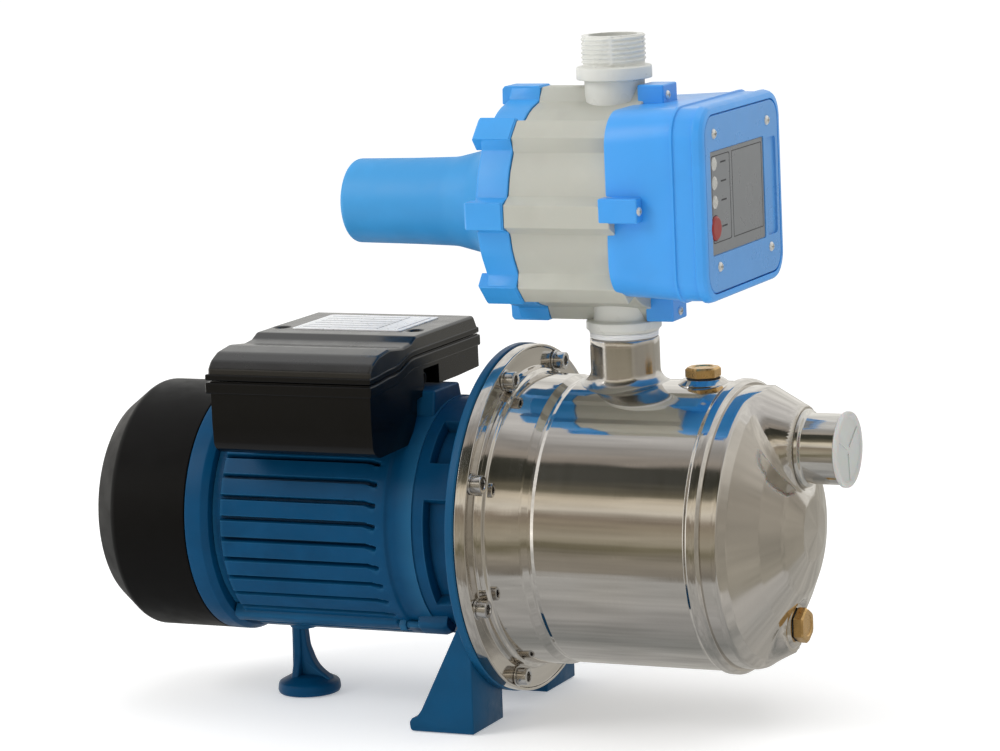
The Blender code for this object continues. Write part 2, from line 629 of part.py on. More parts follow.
def helix(name, centre, axis, start, end, radius, wire, turns, look):
    """A compression spring, as a tube along a helix."""
    per_turn = 6
    curve = bpy.data.curves.new(name, "CURVE")
    curve.dimensions = "3D"
    curve.bevel_depth = wire * MM
    curve.bevel_resolution = 0
    curve.use_fill_caps = True
    count = turns * per_turn
    spline = curve.splines.new("POLY")
    spline.points.add(count)
    for index in range(count + 1):
        angle = 2 * pi * index / per_turn
        along = start + (end - start) * index / count
        local = (along, radius * cos(angle), radius * sin(angle))
        if axis == "Z":
            local = (radius * cos(angle), radius * sin(angle), along)
        spline.points[index].co = (*(Vector(local) * MM), 1)
    obj = bpy.data.objects.new(name, curve)
    bpy.context.scene.collection.objects.link(obj)
    obj.parent = bpy.data.objects["pump_frame"]
    obj.location = Vector(centre) * MM
    curve.materials.append(material(name, look))


def controller_inside():
    centre = (0, 0, CONTROLLER_Z)
    rod("pressure_diaphragm", (15.6, 17.4), 43.4, RUBBER, at=centre, steps=24)
    piston = [(-60, 0), (-60, 4), (8.5, 4), (8.5, 18), (15, 20), (15, 0)]
    turned("pressure_piston", piston, NORYL, at=centre, steps=16)
    helix("pressure_spring", centre, "X", -91, 4.2, 12, 1.2, 6, STEEL)
    outlet = (OUTLET_X, 0, 0)
    valve = [(111.3, 0), (111.3, 11.8), (113.8, 11.8), (113.8, 3), (128, 3), (128, 0)]
    turned("check_valve", valve, NORYL, axis="Z", at=outlet, steps=16)
    helix("check_valve_spring", outlet, "Z", 114.8, 136.5, 7, 0.6, 4, STEEL)


def main():
    clear_scene()
    make_frame()
    motor_housing()
    stator()
    rotor()
    rear_bracket()
    cooling_fan()
    fan_cover()
    front_bracket()
    rear_foot()
    terminal_box()
    terminal_box_contents()
    pump_casing()
    casing_head()
    inlet()
    outlet_pipe()
    plugs()
    flange_bolts()
    seals()
    impeller()
    hydraulics()
    controller_body()
    outlet_nipple()
    controller_rear_cover()
    controller_front_box()
    control_panel()
    controller_inside()


main()
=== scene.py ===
"""Looks of the self-priming jet pump with its pressure controller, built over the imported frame.

Lengths are in millimetres from the CAD's datum: the centre of the casing flange's front face, on the
shaft's axis. X runs along the shaft towards the suction inlet and Z is up. Angles round the shaft are in
degrees from the near side (-Y), positive upwards.
"""

import json
from math import asin, atan2, cos, degrees, hypot, pi, radians, sin, sqrt, tan

import bmesh
import bpy
from mathutils import Matrix, Vector, noise

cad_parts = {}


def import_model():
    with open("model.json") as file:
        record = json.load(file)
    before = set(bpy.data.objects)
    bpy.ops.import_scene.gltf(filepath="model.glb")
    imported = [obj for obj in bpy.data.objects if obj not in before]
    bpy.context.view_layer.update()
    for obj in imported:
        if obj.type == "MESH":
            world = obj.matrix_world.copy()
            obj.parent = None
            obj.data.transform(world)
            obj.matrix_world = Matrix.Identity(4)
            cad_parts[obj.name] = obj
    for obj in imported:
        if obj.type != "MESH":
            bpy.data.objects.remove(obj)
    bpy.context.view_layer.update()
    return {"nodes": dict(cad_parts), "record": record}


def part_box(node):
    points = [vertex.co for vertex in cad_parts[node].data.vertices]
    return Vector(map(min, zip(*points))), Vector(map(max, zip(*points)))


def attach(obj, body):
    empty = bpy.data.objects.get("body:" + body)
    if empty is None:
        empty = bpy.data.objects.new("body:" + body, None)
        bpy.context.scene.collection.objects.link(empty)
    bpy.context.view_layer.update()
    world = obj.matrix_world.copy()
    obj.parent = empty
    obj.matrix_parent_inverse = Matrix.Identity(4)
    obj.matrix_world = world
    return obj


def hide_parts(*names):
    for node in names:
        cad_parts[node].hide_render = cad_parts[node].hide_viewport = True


MM = 0.001

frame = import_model()
CASING_LOW, CASING_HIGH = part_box("pump_casing")
FLANGE_THICK = 6.0
DATUM = Vector((CASING_LOW.x + FLANGE_THICK * MM, 0, (CASING_LOW.z + CASING_HIGH.z) / 2))


def low(node):
    """A node's lowest corner, in millimetres from the datum."""
    return (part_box(node)[0] - DATUM) / MM


def high(node):
    """A node's highest corner, in millimetres from the datum."""
    return (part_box(node)[1] - DATUM) / MM


# Places read from the frame.
SOLE_Z = low("front_bracket").z
FAN_END_X = low("fan_cover").x
FAN_COVER_X = high("fan_cover").x
HOUSING_X = (low("motor_housing").x, high("motor_housing").x)
BRACKET_FRONT_X = high("front_bracket").x
FLANGE_R = high("pump_casing").y
BRACKET_R = high("front_bracket").y
INLET_Z = (low("inlet_socket").z + high("inlet_socket").z) / 2
SOCKET_X = (low("inlet_socket").x, high("inlet_socket").x)
CAP_END_X = high("inlet_cap").x
FILL_X = (low("fill_washer").x + high("fill_washer").x) / 2
DRAIN_Z = (low("drain_washer").z + high("drain_washer").z) / 2
OUTLET_X = (low("thread_tape").x + high("thread_tape").x) / 2
PIPE_TOP_Z = high("discharge_pipe").z
NIPPLE_TOP_Z = high("outlet_nipple").z
CONTROLLER_Z = (low("controller_rear_cover").z + high("controller_rear_cover").z) / 2
BODY_X = (low("controller_body").x, high("controller_body").x)
BOX_X = (low("controller_front_box").x, high("controller_front_box").x)
PANEL_Z = (low("control_panel").z + high("control_panel").z) / 2
PANEL_FRONT_X = high("control_panel").x
BOX_LEFT_X = low("terminal_box_base").x
BOX_RIGHT_X = high("terminal_box_base").x
LID_TOP_Z = high("terminal_box_cover").z
FOOT_X = (low("rear_foot").x + high("rear_foot").x) / 2
INDICATOR_Y = (low("indicator_lens").y + high("indicator_lens").y) / 2
BUTTON_Z = (low("restart_button").z + high("restart_button").z) / 2

# Driving sizes of the shapes.
BARREL_R = 74.0
HEAD_X = 120.0
DOME_APEX_X = 155.5
DRAIN_SEAT_X = 141.5
INLET_SEAT_X = 150.4
HEAD_R = 72.5
FIN_R = 64.0
FIN_ROOT_R = 59.5
FIN_COUNT = 36
BORE_R = 54.5
NECK_R = 62.0
REAR_RING_R = 66.7
BOLT_CIRCLE_R = 84.0
PIPE_R = 17.9
NIPPLE_R = 16.6
BOX_MIDDLE_Y = 1.2
LABEL_Z = (144.5, 196.5)
CHAMBER_R = 53.5
RIB_R = 60.0
CAMERA_PLACE = (838.5, -1854.9, 404.1)
CAMERA_ANGLES = (24.78, 9.17, -2.52)
CAMERA_LENS = 143.07


# Mesh tools.


def polar(radius, angle):
    """The (Y, Z) point at this radius and angle round the shaft."""
    return (-radius * cos(radians(angle)), radius * sin(radians(angle)))


def smooth(value, start, end):
    """0 before the start, 1 after the end, and a smooth curve between."""
    t = min(1, max(0, (value - start) / (end - start)))
    return t * t * (3 - 2 * t)


def smooth_max(a, b, blend):
    """The larger of two heights, with a fillet of about this size where they meet."""
    h = max(0, blend - abs(a - b)) / blend
    return max(a, b) + h * h * blend / 4


def fillet(points, radius=0.0, steps=4, closed=True):
    """The outline with its corners rounded. A point may carry its own radius as a third number."""
    rounded = []
    for index, point in enumerate(points):
        corner = Vector(point[:2])
        size = point[2] if len(point) > 2 else radius
        at_end = not closed and index in (0, len(points) - 1)
        back = Vector(points[index - 1][:2]) - corner
        ahead = Vector(points[(index + 1) % len(points)][:2]) - corner
        if at_end or size <= 0 or back.length == 0 or ahead.length == 0:
            rounded.append(corner)
            continue
        half = back.angle(ahead) / 2
        if half < 0.02 or half > pi / 2 - 0.02:
            rounded.append(corner)
            continue
        reach = min(size / tan(half), 0.49 * back.length, 0.49 * ahead.length)
        centre = corner + (back.normalized() + ahead.normalized()).normalized() * (reach / cos(half))
        first = corner + back.normalized() * reach - centre
        last = corner + ahead.normalized() * reach - centre
        start = atan2(first.y, first.x)
        sweep = (atan2(last.y, last.x) - start + pi) % (2 * pi) - pi
        for step in range(steps + 1):
            angle = start + sweep * step / steps
            rounded.append(centre + first.length * Vector((cos(angle), sin(angle))))
    return rounded


def rounded_box(half_u, half_v, radius, centre=(0, 0), steps=8):
    corners = ((1, 1), (-1, 1), (-1, -1), (1, -1))
    return fillet([(centre[0] + u * half_u, centre[1] + v * half_v) for u, v in corners], radius, steps)


def turn_to(point, axis):
    """A point built along X, turned to lie along Y or Z."""
    along, u, v = point
    return {"X": (along, u, v), "Y": (u, along, v), "Z": (u, v, along)}[axis]


def loft(rings, caps=True, loop=False, bm=None):
    """Joins closed rings into a skin. Caps fill the ends, and loop joins the last ring to the first."""
    bm = bmesh.new() if bm is None else bm
    made = [[bm.verts.new(point) for point in ring] for ring in rings]
    pairs = list(zip(made, made[1:]))
    if loop:
        pairs.append((made[-1], made[0]))
    for first, second in pairs:
        for i in range(len(first)):
            j = (i + 1) % len(first)
            bm.faces.new((first[i], first[j], second[j], second[i]))
    if caps and not loop:
        bm.faces.new(made[0])
        bm.faces.new(made[-1])
    return bm


def circle(along, radius, steps, axis="X", at=(0, 0, 0)):
    ring = []
    for step in range(steps):
        angle = 2 * pi * step / steps
        point = turn_to((along, radius * cos(angle), radius * sin(angle)), axis)
        ring.append(Vector(point) + Vector(at))
    return ring


def lathe(profile, axis="X", at=(0, 0, 0), steps=96, bm=None):
    """Turns an (along, radius) outline round the axis. It is closed if its ends are on the axis."""
    solid = profile[0][1] < 0.01 and profile[-1][1] < 0.01
    rings = [circle(p[0], max(p[1], 0.05), steps, axis, at) for p in profile]
    return loft(rings, solid, not solid, bm)


def cylinder(ends, radius, axis="X", at=(0, 0, 0), steps=48, bm=None):
    return lathe([(ends[0], 0), (ends[0], radius), (ends[1], radius), (ends[1], 0)], axis, at, steps, bm)


def prism(outline, ends, axis="X", bm=None):
    """The outline is (Y, Z) points for axis X, (X, Z) for Y and (X, Y) for Z."""
    order = {"X": lambda u, v, w: (w, u, v), "Y": lambda u, v, w: (u, w, v), "Z": lambda u, v, w: (u, v, w)}
    return loft([[order[axis](p[0], p[1], end) for p in outline] for end in ends], bm=bm)


def cuboid(corner, opposite, bm=None):
    x0, y0, z0 = corner
    x1, y1, z1 = opposite
    return prism([(x0, y0), (x1, y0), (x1, y1), (x0, y1)], (z0, z1), "Z", bm)


def add(name, bm, at=(0, 0, 0)):
    """A new object with this mesh."""
    mesh = bpy.data.meshes.new(name)
    bm.to_mesh(mesh)
    bm.free()
    obj = bpy.data.objects.new(name, mesh)
    obj.location = at
    bpy.context.scene.collection.objects.link(obj)
    return obj


def make(name, bm, look, replaces=(), body="pump", sharp=32):
    """A piece of the mesh, which is in millimetres from the datum. It rides on the body."""
    bmesh.ops.remove_doubles(bm, verts=bm.verts, dist=0.002)
    bmesh.ops.recalc_face_normals(bm, faces=bm.faces)
    bm.transform(Matrix.Translation(DATUM) @ Matrix.Scale(MM, 4))
    obj = add(name, bm)
    obj.data.shade_smooth()
    obj.data.set_sharp_from_angle(angle=radians(sharp))
    if look is None:
        return obj
    obj.data.materials.append(look)
    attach(obj, body)
    if replaces:
        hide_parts(*replaces)
    return obj


def bevel(obj, width, steps=3, angle=35):
    modifier = obj.modifiers.new("soft edges", "BEVEL")
    modifier.width = width * MM
    modifier.segments = steps
    modifier.limit_method = "ANGLE"
    modifier.angle_limit = radians(angle)
    modifier.harden_normals = True
    return obj


def settle(obj):
    """Applies the modifiers to the mesh."""
    graph = bpy.context.evaluated_depsgraph_get()
    settled = bpy.data.meshes.new_from_object(obj.evaluated_get(graph))
    obj.modifiers.clear()
    obj.data = settled
    return obj


def subtract(obj, bm, sharp=32):
    """Cuts the mesh out of the piece."""
    tool = make("tool", bm, None)
    modifier = obj.modifiers.new("cut", "BOOLEAN")
    modifier.operation = "DIFFERENCE"
    modifier.object = tool
    settle(obj)
    bpy.data.objects.remove(tool)
    obj.data.shade_smooth()
    obj.data.set_sharp_from_angle(angle=radians(sharp))
    return obj


# Materials.


class Look:
    """A Principled material, with short calls for its procedural nodes."""

    def __init__(self, name, colour, roughness, metallic=0.0, slot=None, **constants):
        self.material = bpy.data.materials.new(name)
        self.material.use_nodes = True
        self.tree = self.material.node_tree
        self.shader = self.tree.nodes["Principled BSDF"]
        self.shader.inputs["Base Color"].default_value = (*colour, 1)
        self.shader.inputs["Roughness"].default_value = roughness
        self.shader.inputs["Metallic"].default_value = metallic
        for socket, value in constants.items():
            self.shader.inputs[socket.replace("_", " ")].default_value = value
        self.colour = colour
        self.height = None
        if slot:
            self.material["slot"] = slot

    def node(self, kind, **settings):
        made = self.tree.nodes.new(kind)
        for key, value in settings.items():
            setattr(made, key, value)
        return made

    def link(self, output, target):
        self.tree.links.new(output, target)

    def noise(self, scale, stretch=(1, 1, 1), detail=3.0):
        """Noise with this many cells a metre, stretched by the factors."""
        place = self.node("ShaderNodeTexCoord")
        mapping = self.node("ShaderNodeMapping")
        mapping.inputs["Scale"].default_value = stretch
        texture = self.node("ShaderNodeTexNoise")
        texture.inputs["Scale"].default_value = scale
        texture.inputs["Detail"].default_value = detail
        self.link(place.outputs["Object"], mapping.inputs["Vector"])
        self.link(mapping.outputs["Vector"], texture.inputs["Vector"])
        return texture.outputs["Fac"]

    def ramp(self, factor, start, end, low_value, high_value):
        """Maps a factor's range onto two values, and keeps it between them."""
        mapped = self.node("ShaderNodeMapRange")
        for socket, value in zip(("From Min", "From Max", "To Min", "To Max"),
                                 (start, end, low_value, high_value)):
            mapped.inputs[socket].default_value = value
        self.link(factor, mapped.inputs["Value"])
        return mapped.outputs["Result"]

    def tint(self, factor, colour, start=0.4, end=0.6, amount=1.0):
        """Mixes the colour in where the factor is high."""
        mix = self.node("ShaderNodeMix", data_type="RGBA")
        socket = self.shader.inputs["Base Color"]
        if socket.links:
            self.link(socket.links[0].from_socket, mix.inputs["A"])
        else:
            mix.inputs["A"].default_value = socket.default_value
        mix.inputs["B"].default_value = (*colour, 1)
        self.link(self.ramp(factor, start, end, 0, amount), mix.inputs["Factor"])
        self.link(mix.outputs["Result"], socket)

    def vary(self, scale, amount, stretch=(1, 1, 1)):
        """Slow changes of the colour."""
        darker = tuple(part * (1 - amount) for part in self.colour)
        lighter = tuple(min(1, part * (1 + amount)) for part in self.colour)
        self.tint(self.noise(scale, stretch), darker, 0.5, 0.3)
        self.tint(self.noise(scale * 1.7, stretch), lighter, 0.5, 0.7, 0.8)

    def rough(self, scale, smallest, largest, stretch=(1, 1, 1)):
        self.link(self.ramp(self.noise(scale, stretch), 0.3, 0.7, smallest, largest),
                  self.shader.inputs["Roughness"])

    def bump(self, scale, height, stretch=(1, 1, 1), detail=3.0):
        """Relief of this height in millimetres."""
        made = self.node("ShaderNodeBump")
        made.inputs["Distance"].default_value = height * MM
        made.inputs["Strength"].default_value = 1.0
        self.link(self.noise(scale, stretch, detail), made.inputs["Height"])
        if self.height:
            self.link(self.height, made.inputs["Normal"])
        self.height = made.outputs["Normal"]
        self.link(self.height, self.shader.inputs["Normal"])

    def edges(self, colour, start, end, amount):
        """Paints a highlight colour on outside edges, if start and end are over 0.5, or a shade colour in
        inside corners, if they are under.
        """
        geometry = self.node("ShaderNodeNewGeometry")
        self.tint(geometry.outputs["Pointiness"], colour, start, end, amount)


def painted(name, colour, slot):
    look = Look(name, colour, 0.36, 0.0, slot, Specular_IOR_Level=0.1, Coat_Weight=0.03, Coat_Roughness=0.2)
    look.vary(28, 0.14)
    # Painted highlight: a lighter blue on the outside edges, where light catches them.
    look.edges((0.03, 0.16, 0.3), 0.52, 0.6, 0.5)
    # Painted shade: a much darker blue in the inside corners and creases, where shade falls.
    look.edges((0.002, 0.014, 0.035), 0.48, 0.42, 0.7)
    look.rough(160, 0.3, 0.46)
    look.bump(420, 0.06)
    look.bump(1600, 0.02)
    return look.material


def moulded(name, colour, slot, roughness=0.4, vary=0.06, grain=2600, relief=0.012, **constants):
    look = Look(name, colour, roughness, 0.0, slot, **constants)
    look.vary(22, vary)
    look.rough(90, roughness * 0.85, roughness * 1.15)
    look.bump(grain, relief)
    look.bump(60, 0.05)
    return look.material


def polished(name, colour, slot, low_rough=0.05, high_rough=0.09, along=(1500, 6, 6), relief=0.0007):
    """Polished sheet steel. The polishing lines are thin along the first large factor's axis."""
    look = Look(name, colour, 0.1, 1.0, slot)
    look.vary(14, 0.05)
    look.tint(look.noise(9), (0.6, 0.54, 0.45), 0.5, 0.75, 0.35)
    look.rough(1.0, low_rough, high_rough, along)
    look.bump(1.0, relief, along, 2.0)
    look.bump(16, 0.25, detail=1.0)
    return look.material


def machined(name, colour, slot, roughness=0.25, metallic=1.0, relief=0.006):
    look = Look(name, colour, roughness, metallic, slot)
    look.vary(120, 0.12)
    look.rough(500, roughness * 0.7, roughness * 1.4)
    look.bump(2200, relief)
    return look.material


def looks():
    made = {
        "motor_paint": painted("motor_blue_paint", (0.001, 0.056, 0.14), "motor_paint"),
        "fan_cover_plastic": moulded("fan_cover_black", (0.0045, 0.0042, 0.004), "fan_cover_plastic", 0.42,
                                     Specular_IOR_Level=0.1),
        "box_plastic": moulded("terminal_box_black", (0.003, 0.003, 0.0033), "box_plastic", 0.2, relief=0.004,
                               Specular_IOR_Level=0.3),
        "polished_stainless": polished("stainless_barrel", (0.63, 0.6, 0.56), "polished_stainless"),
        "steel": machined("bright_steel", (0.62, 0.61, 0.6), "steel", 0.18),
        "copper": machined("copper_wire", (0.7, 0.32, 0.15), "copper", 0.35),
        "brass": machined("brass", (0.72, 0.47, 0.2), "brass", 0.3),
        "rubber": moulded("black_rubber", (0.02, 0.02, 0.02), "rubber", 0.75),
        "ceramic": moulded("seal_ceramic", (0.75, 0.72, 0.65), "ceramic", 0.3),
        "moulding_black": moulded("black_moulding", (0.03, 0.03, 0.035), "moulding_black", 0.5),
        "grey_plastic": moulded("controller_grey", (0.47, 0.47, 0.41), "grey_plastic", 0.45, 0.08,
                                Subsurface_Weight=0.03, Subsurface_Scale=0.002),
        "blue_plastic": moulded("controller_blue", (0.045, 0.34, 0.84), "blue_plastic", 0.34, 0.05,
                                Coat_Weight=0.2, Coat_Roughness=0.15),
        "panel_plastic": moulded("panel_blue", (0.09, 0.31, 0.68), "panel_plastic", 0.3),
        "label_film": moulded("label_film", (0.19, 0.2, 0.21), "label_film", 0.3, 0.03, relief=0.002),
        "lens_plastic": moulded("lens_white", (0.7, 0.7, 0.66), "lens_plastic", 0.2, Transmission_Weight=0.3),
        "button_plastic": moulded("button_red", (0.3, 0.025, 0.025), "button_plastic", 0.35),
        "board": moulded("board_green", (0.02, 0.16, 0.06), "board", 0.5, 0.2),
        "cream_plastic": moulded("terminal_cream", (0.7, 0.66, 0.55), "cream_plastic", 0.4),
        "white_plastic": moulded("translucent_white", (0.56, 0.57, 0.55), "white_plastic", 0.35, 0.04,
                                 Subsurface_Weight=0.3, Subsurface_Scale=0.004),
        "tape": moulded("thread_tape", (0.85, 0.85, 0.84), "tape", 0.6, relief=0.05),
        "plate": machined("rating_plate", (0.9, 0.9, 0.91), "plate", 0.35, 0.3),
    }
    for entry in frame["record"]["subparts"]:
        node = frame["nodes"][entry["node"]]
        node.data.materials.clear()
        node.data.materials.append(made[entry["material_slot"]])
    return made


LOOKS = looks()
BLUE = LOOKS["motor_paint"]
STEEL = LOOKS["polished_stainless"]
BRIGHT = LOOKS["steel"]
BOX_BLACK = LOOKS["box_plastic"]
GREY = LOOKS["grey_plastic"]
LID_BLACK = moulded("lid_black", (0.004, 0.004, 0.0042), "box_plastic", 0.24, relief=0.004,
                    Specular_IOR_Level=0.8)
CONTROL_BLUE = LOOKS["blue_plastic"]
HEAD_STEEL = polished("stainless_head", (0.63, 0.6, 0.56), "polished_stainless", 0.06, 0.14, (60, 60, 60),
                      0.0)
PIPE_STEEL = polished("stainless_pipe", (0.57, 0.55, 0.52), "polished_stainless", 0.15, 0.24, (6, 6, 1500))
INLET_STEEL = polished("stainless_inlet", (0.66, 0.64, 0.6), "polished_stainless", 0.05, 0.12, (1500, 6, 6))
THREAD_GREY = moulded("nipple_grey", (0.72, 0.72, 0.67), "grey_plastic", 0.3, 0.05)
NOSE_BLUE = moulded("nose_blue", (0.03, 0.3, 0.66), "blue_plastic", 0.5, 0.1)
RING_BLUE = moulded("ring_blue", (0.04, 0.33, 0.78), "blue_plastic", 0.42, 0.06)
ZINC = machined("zinc_screw", (0.8, 0.8, 0.77), "steel", 0.35, 0.6)
PRINT = moulded("dark_print", (0.03, 0.03, 0.035), None, 0.6)
PALE_PRINT = moulded("pale_print", (0.4, 0.4, 0.41), None, 0.6)


# Camera, floor and light.


def camera():
    azimuth, elevation, roll = (radians(angle) for angle in CAMERA_ANGLES)
    right = Vector((cos(azimuth), sin(azimuth), 0))
    up = Vector((-sin(azimuth) * sin(elevation), cos(azimuth) * sin(elevation), cos(elevation)))
    back = right.cross(up)
    rolled_right = right * cos(roll) + up * sin(roll)
    rolled_up = up * cos(roll) - right * sin(roll)
    data = bpy.data.cameras.new("camera")
    data.lens = CAMERA_LENS
    data.sensor_width = 36
    obj = bpy.data.objects.new("camera", data)
    bpy.context.scene.collection.objects.link(obj)
    turn = Matrix((rolled_right, rolled_up, back)).transposed().to_4x4()
    obj.matrix_world = Matrix.Translation(DATUM + Vector(CAMERA_PLACE) * MM) @ turn
    bpy.context.scene.camera = obj


def emission(name):
    mat = bpy.data.materials.new(name)
    mat.use_nodes = True
    tree = mat.node_tree
    tree.nodes.remove(tree.nodes["Principled BSDF"])
    light = tree.nodes.new("ShaderNodeEmission")
    tree.links.new(light.outputs["Emission"], tree.nodes["Material Output"].inputs["Surface"])
    return mat


# What the polished steel sees, by the angle round the shaft: -90 is straight down, 0 the near horizon, 90
# straight up and 180 the far horizon. Each entry is an angle and a colour.
ROOM = (
    (-180, (0.45, 0.43, 0.38)),
    (-150, (0.5, 0.49, 0.46)),
    (-128, (0.46, 0.46, 0.45)),
    (-99, (0.29, 0.3, 0.3)),
    (-74, (0.42, 0.42, 0.42)),
    (-45, (0.48, 0.48, 0.47)),
    (-34, (0.51, 0.51, 0.5)),
    (-31, (0.26, 0.24, 0.21)),
    (-19, (0.34, 0.31, 0.26)),
    (-11, (0.2, 0.18, 0.12)),
    (-3, (0.44, 0.4, 0.32)),
    (5, (0.39, 0.34, 0.26)),
    (13, (0.3, 0.25, 0.2)),
    (18, (0.85, 0.8, 0.7)),
    (28, (0.78, 0.7, 0.56)),
    (33, (0.2, 0.18, 0.13)),
    (44, (0.05, 0.05, 0.04)),
    (55, (0.05, 0.05, 0.04)),
    (58, (0.4, 0.36, 0.32)),
    (70, (0.36, 0.35, 0.34)),
    (82, (0.62, 0.62, 0.62)),
    (110, (0.8, 0.8, 0.8)),
    (145, (0.9, 0.9, 0.88)),
    (173, (0.95, 0.94, 0.9)),
    (180, (0.45, 0.43, 0.38)),
)
ROOM_R = 1.6


def math_node(tree, operation, *inputs):
    made = tree.nodes.new("ShaderNodeMath")
    made.operation = operation
    for socket, value in zip(made.inputs, inputs):
        if isinstance(value, (int, float)):
            socket.default_value = value
        else:
            tree.links.new(value, socket)
    return made.outputs[0]


# The walls at the two ends, by height in metres from the shaft.
FRONT_WALL = (
    (-1.6, (0.42, 0.42, 0.41)),
    (-0.86, (0.58, 0.57, 0.55)),
    (-0.8, (0.38, 0.36, 0.31)),
    (0.2, (0.42, 0.39, 0.34)),
    (0.8, (0.72, 0.7, 0.65)),
    (1.6, (0.8, 0.79, 0.76)),
)
REAR_WALL = (
    (-1.6, (0.35, 0.35, 0.35)),
    (-0.5, (0.7, 0.7, 0.68)),
    (-0.1, (1.5, 1.47, 1.4)),
    (0.6, (0.9, 0.88, 0.84)),
    (1.6, (1.0, 1.0, 1.0)),
)


def wall_light(name, stops, round_shaft):
    """Emission by the angle round the shaft or by height, with uneven edges and patches as in a real room."""
    mat = emission(name)
    tree = mat.node_tree
    place = tree.nodes.new("ShaderNodeTexCoord")
    parts = tree.nodes.new("ShaderNodeSeparateXYZ")
    tree.links.new(place.outputs["Object"], parts.inputs[0])

    def blotch(stretch):
        mapping = tree.nodes.new("ShaderNodeMapping")
        mapping.inputs["Scale"].default_value = stretch
        texture = tree.nodes.new("ShaderNodeTexNoise")
        texture.inputs["Scale"].default_value = 1.0
        tree.links.new(place.outputs["Object"], mapping.inputs["Vector"])
        tree.links.new(mapping.outputs["Vector"], texture.inputs["Vector"])
        return math_node(tree, "SUBTRACT", texture.outputs["Fac"], 0.5)

    if round_shaft:
        nearer = math_node(tree, "MULTIPLY", parts.outputs["Y"], -1.0)
        angle = math_node(tree, "ARCTAN2", parts.outputs["Z"], nearer)
        place_in_ramp = math_node(tree, "MULTIPLY_ADD", angle, 0.5 / pi, 0.5)
    else:
        place_in_ramp = math_node(tree, "MULTIPLY_ADD", parts.outputs["Z"], 0.5 / ROOM_R, 0.5)
    for stretch, amount in (((3, 1.5, 1.5), 0.022), ((22, 5, 5), 0.03), ((1.5, 14, 14), 0.02)):
        place_in_ramp = math_node(tree, "MULTIPLY_ADD", blotch(stretch), amount, place_in_ramp)
    ramp = tree.nodes.new("ShaderNodeValToRGB")
    marks = ramp.color_ramp.elements
    span = 360 if round_shaft else 2 * ROOM_R
    for index, (value, colour) in enumerate(stops):
        at = value / span + 0.5
        mark = marks[index] if index < 2 else marks.new(at)
        mark.position = at
        mark.color = (*colour, 1)
    tree.links.new(place_in_ramp, ramp.inputs["Fac"])
    tree.links.new(ramp.outputs["Color"], tree.nodes["Emission"].inputs["Color"])
    strength = 1.0
    for stretch, amount in (((9, 2.5, 2.5), 0.8), ((30, 12, 12), 0.6)):
        strength = math_node(tree, "MULTIPLY_ADD", blotch(stretch), amount, strength)
    tree.links.new(strength, tree.nodes["Emission"].inputs["Strength"])
    return mat


def reflected_only(name, bm, mat):
    """A surface of the studio that shows only in reflections."""
    obj = add(name, bm, DATUM)
    obj.data.materials.append(mat)
    obj.visible_camera = False
    obj.visible_diffuse = False
    obj.visible_shadow = False
    obj.visible_transmission = False


def room():
    """A round room about the shaft's axis, and its two end walls."""
    rear, front = circle(-ROOM_R, ROOM_R, 64), circle(ROOM_R, ROOM_R, 64)
    reflected_only("room_wall", loft([rear, front], caps=False), wall_light("room_wall", ROOM, True))
    for name, ring, stops in (("front_wall", front, FRONT_WALL), ("rear_wall", rear, REAR_WALL)):
        bm = bmesh.new()
        bm.faces.new([bm.verts.new(point) for point in ring])
        reflected_only(name, bm, wall_light(name, stops, False))


def world():
    """White behind the object, and a softer white for its light."""
    made = bpy.data.worlds.new("studio")
    bpy.context.scene.world = made
    made.use_nodes = True
    tree = made.node_tree
    path = tree.nodes.new("ShaderNodeLightPath")
    background = tree.nodes["Background"]
    background.inputs["Color"].default_value = (1, 1, 1, 1)
    strength = math_node(tree, "MULTIPLY_ADD", path.outputs["Is Camera Ray"], 0.45, 0.55)
    tree.links.new(strength, background.inputs["Strength"])


def studio():
    world()
    room()
    bm = bmesh.new()
    size = 6
    corners = ((-size, -size), (size, -size), (size, size), (-size, size))
    bm.faces.new([bm.verts.new((x, y, -0.0005)) for x, y in corners])
    look = Look("pale_floor", (0.93, 0.93, 0.93), 0.8, Emission_Color=(1, 1, 1, 1))
    look.vary(3, 0.01)
    away = look.node("ShaderNodeVectorMath", operation="LENGTH")
    look.link(look.node("ShaderNodeTexCoord").outputs["Object"], away.inputs[0])
    look.link(look.ramp(away.outputs["Value"], 0.8, 3.5, 0.34, 0.56), look.shader.inputs["Emission Strength"])
    floor = add("floor", bm)
    floor.data.materials.append(look.material)
    floor.visible_glossy = False
    for name, place, size, power in (("key", (-1.3, -1.2, 1.4), 1.0, 17), ("top", (0.3, 0.2, 1.9), 1.6, 11)):
        data = bpy.data.lights.new(name, "AREA")
        data.size = size
        data.energy = power
        light = bpy.data.objects.new(name, data)
        light.location = place
        light.rotation_euler = (Vector((0, 0, 0.15)) - Vector(place)).to_track_quat("-Z", "Y").to_euler()
        bpy.context.scene.collection.objects.link(light)
    bpy.context.scene.view_settings.view_transform = "Standard"


# Motor.


def fan_cover():
    outside = [(FAN_COVER_X, 64.6), (FAN_COVER_X, 66.6, 0.6), (FAN_END_X + 15.5, 66.6, 6)]
    outside += [(FAN_END_X + 0.3, 55.2, 4), (FAN_END_X, 40), (FAN_END_X, 0)]
    inside = [(FAN_END_X + 2.2, 0), (FAN_END_X + 2.2, 53.6), (FAN_END_X + 16, 64.6)]
    bm = lathe(fillet(outside + inside, 0, 10), steps=128)
    cover = make("fan_cover_shell", bm, LOOKS["fan_cover_plastic"], ["fan_cover"])
    slots = bmesh.new()
    for inner, outer, count in ((16, 25, 8), (29, 38, 12), (42, 51, 16)):
        for index in range(count):
            middle = 360 * index / count
            half = 180 / count * 0.72
            arc = [middle - half + half * step / 3 for step in range(7)]
            ring = [polar(inner, angle) for angle in arc] + [polar(outer, angle) for angle in reversed(arc)]
            prism(fillet(ring, 0), (FAN_END_X - 1, FAN_END_X + 4), bm=slots)
    subtract(cover, slots)


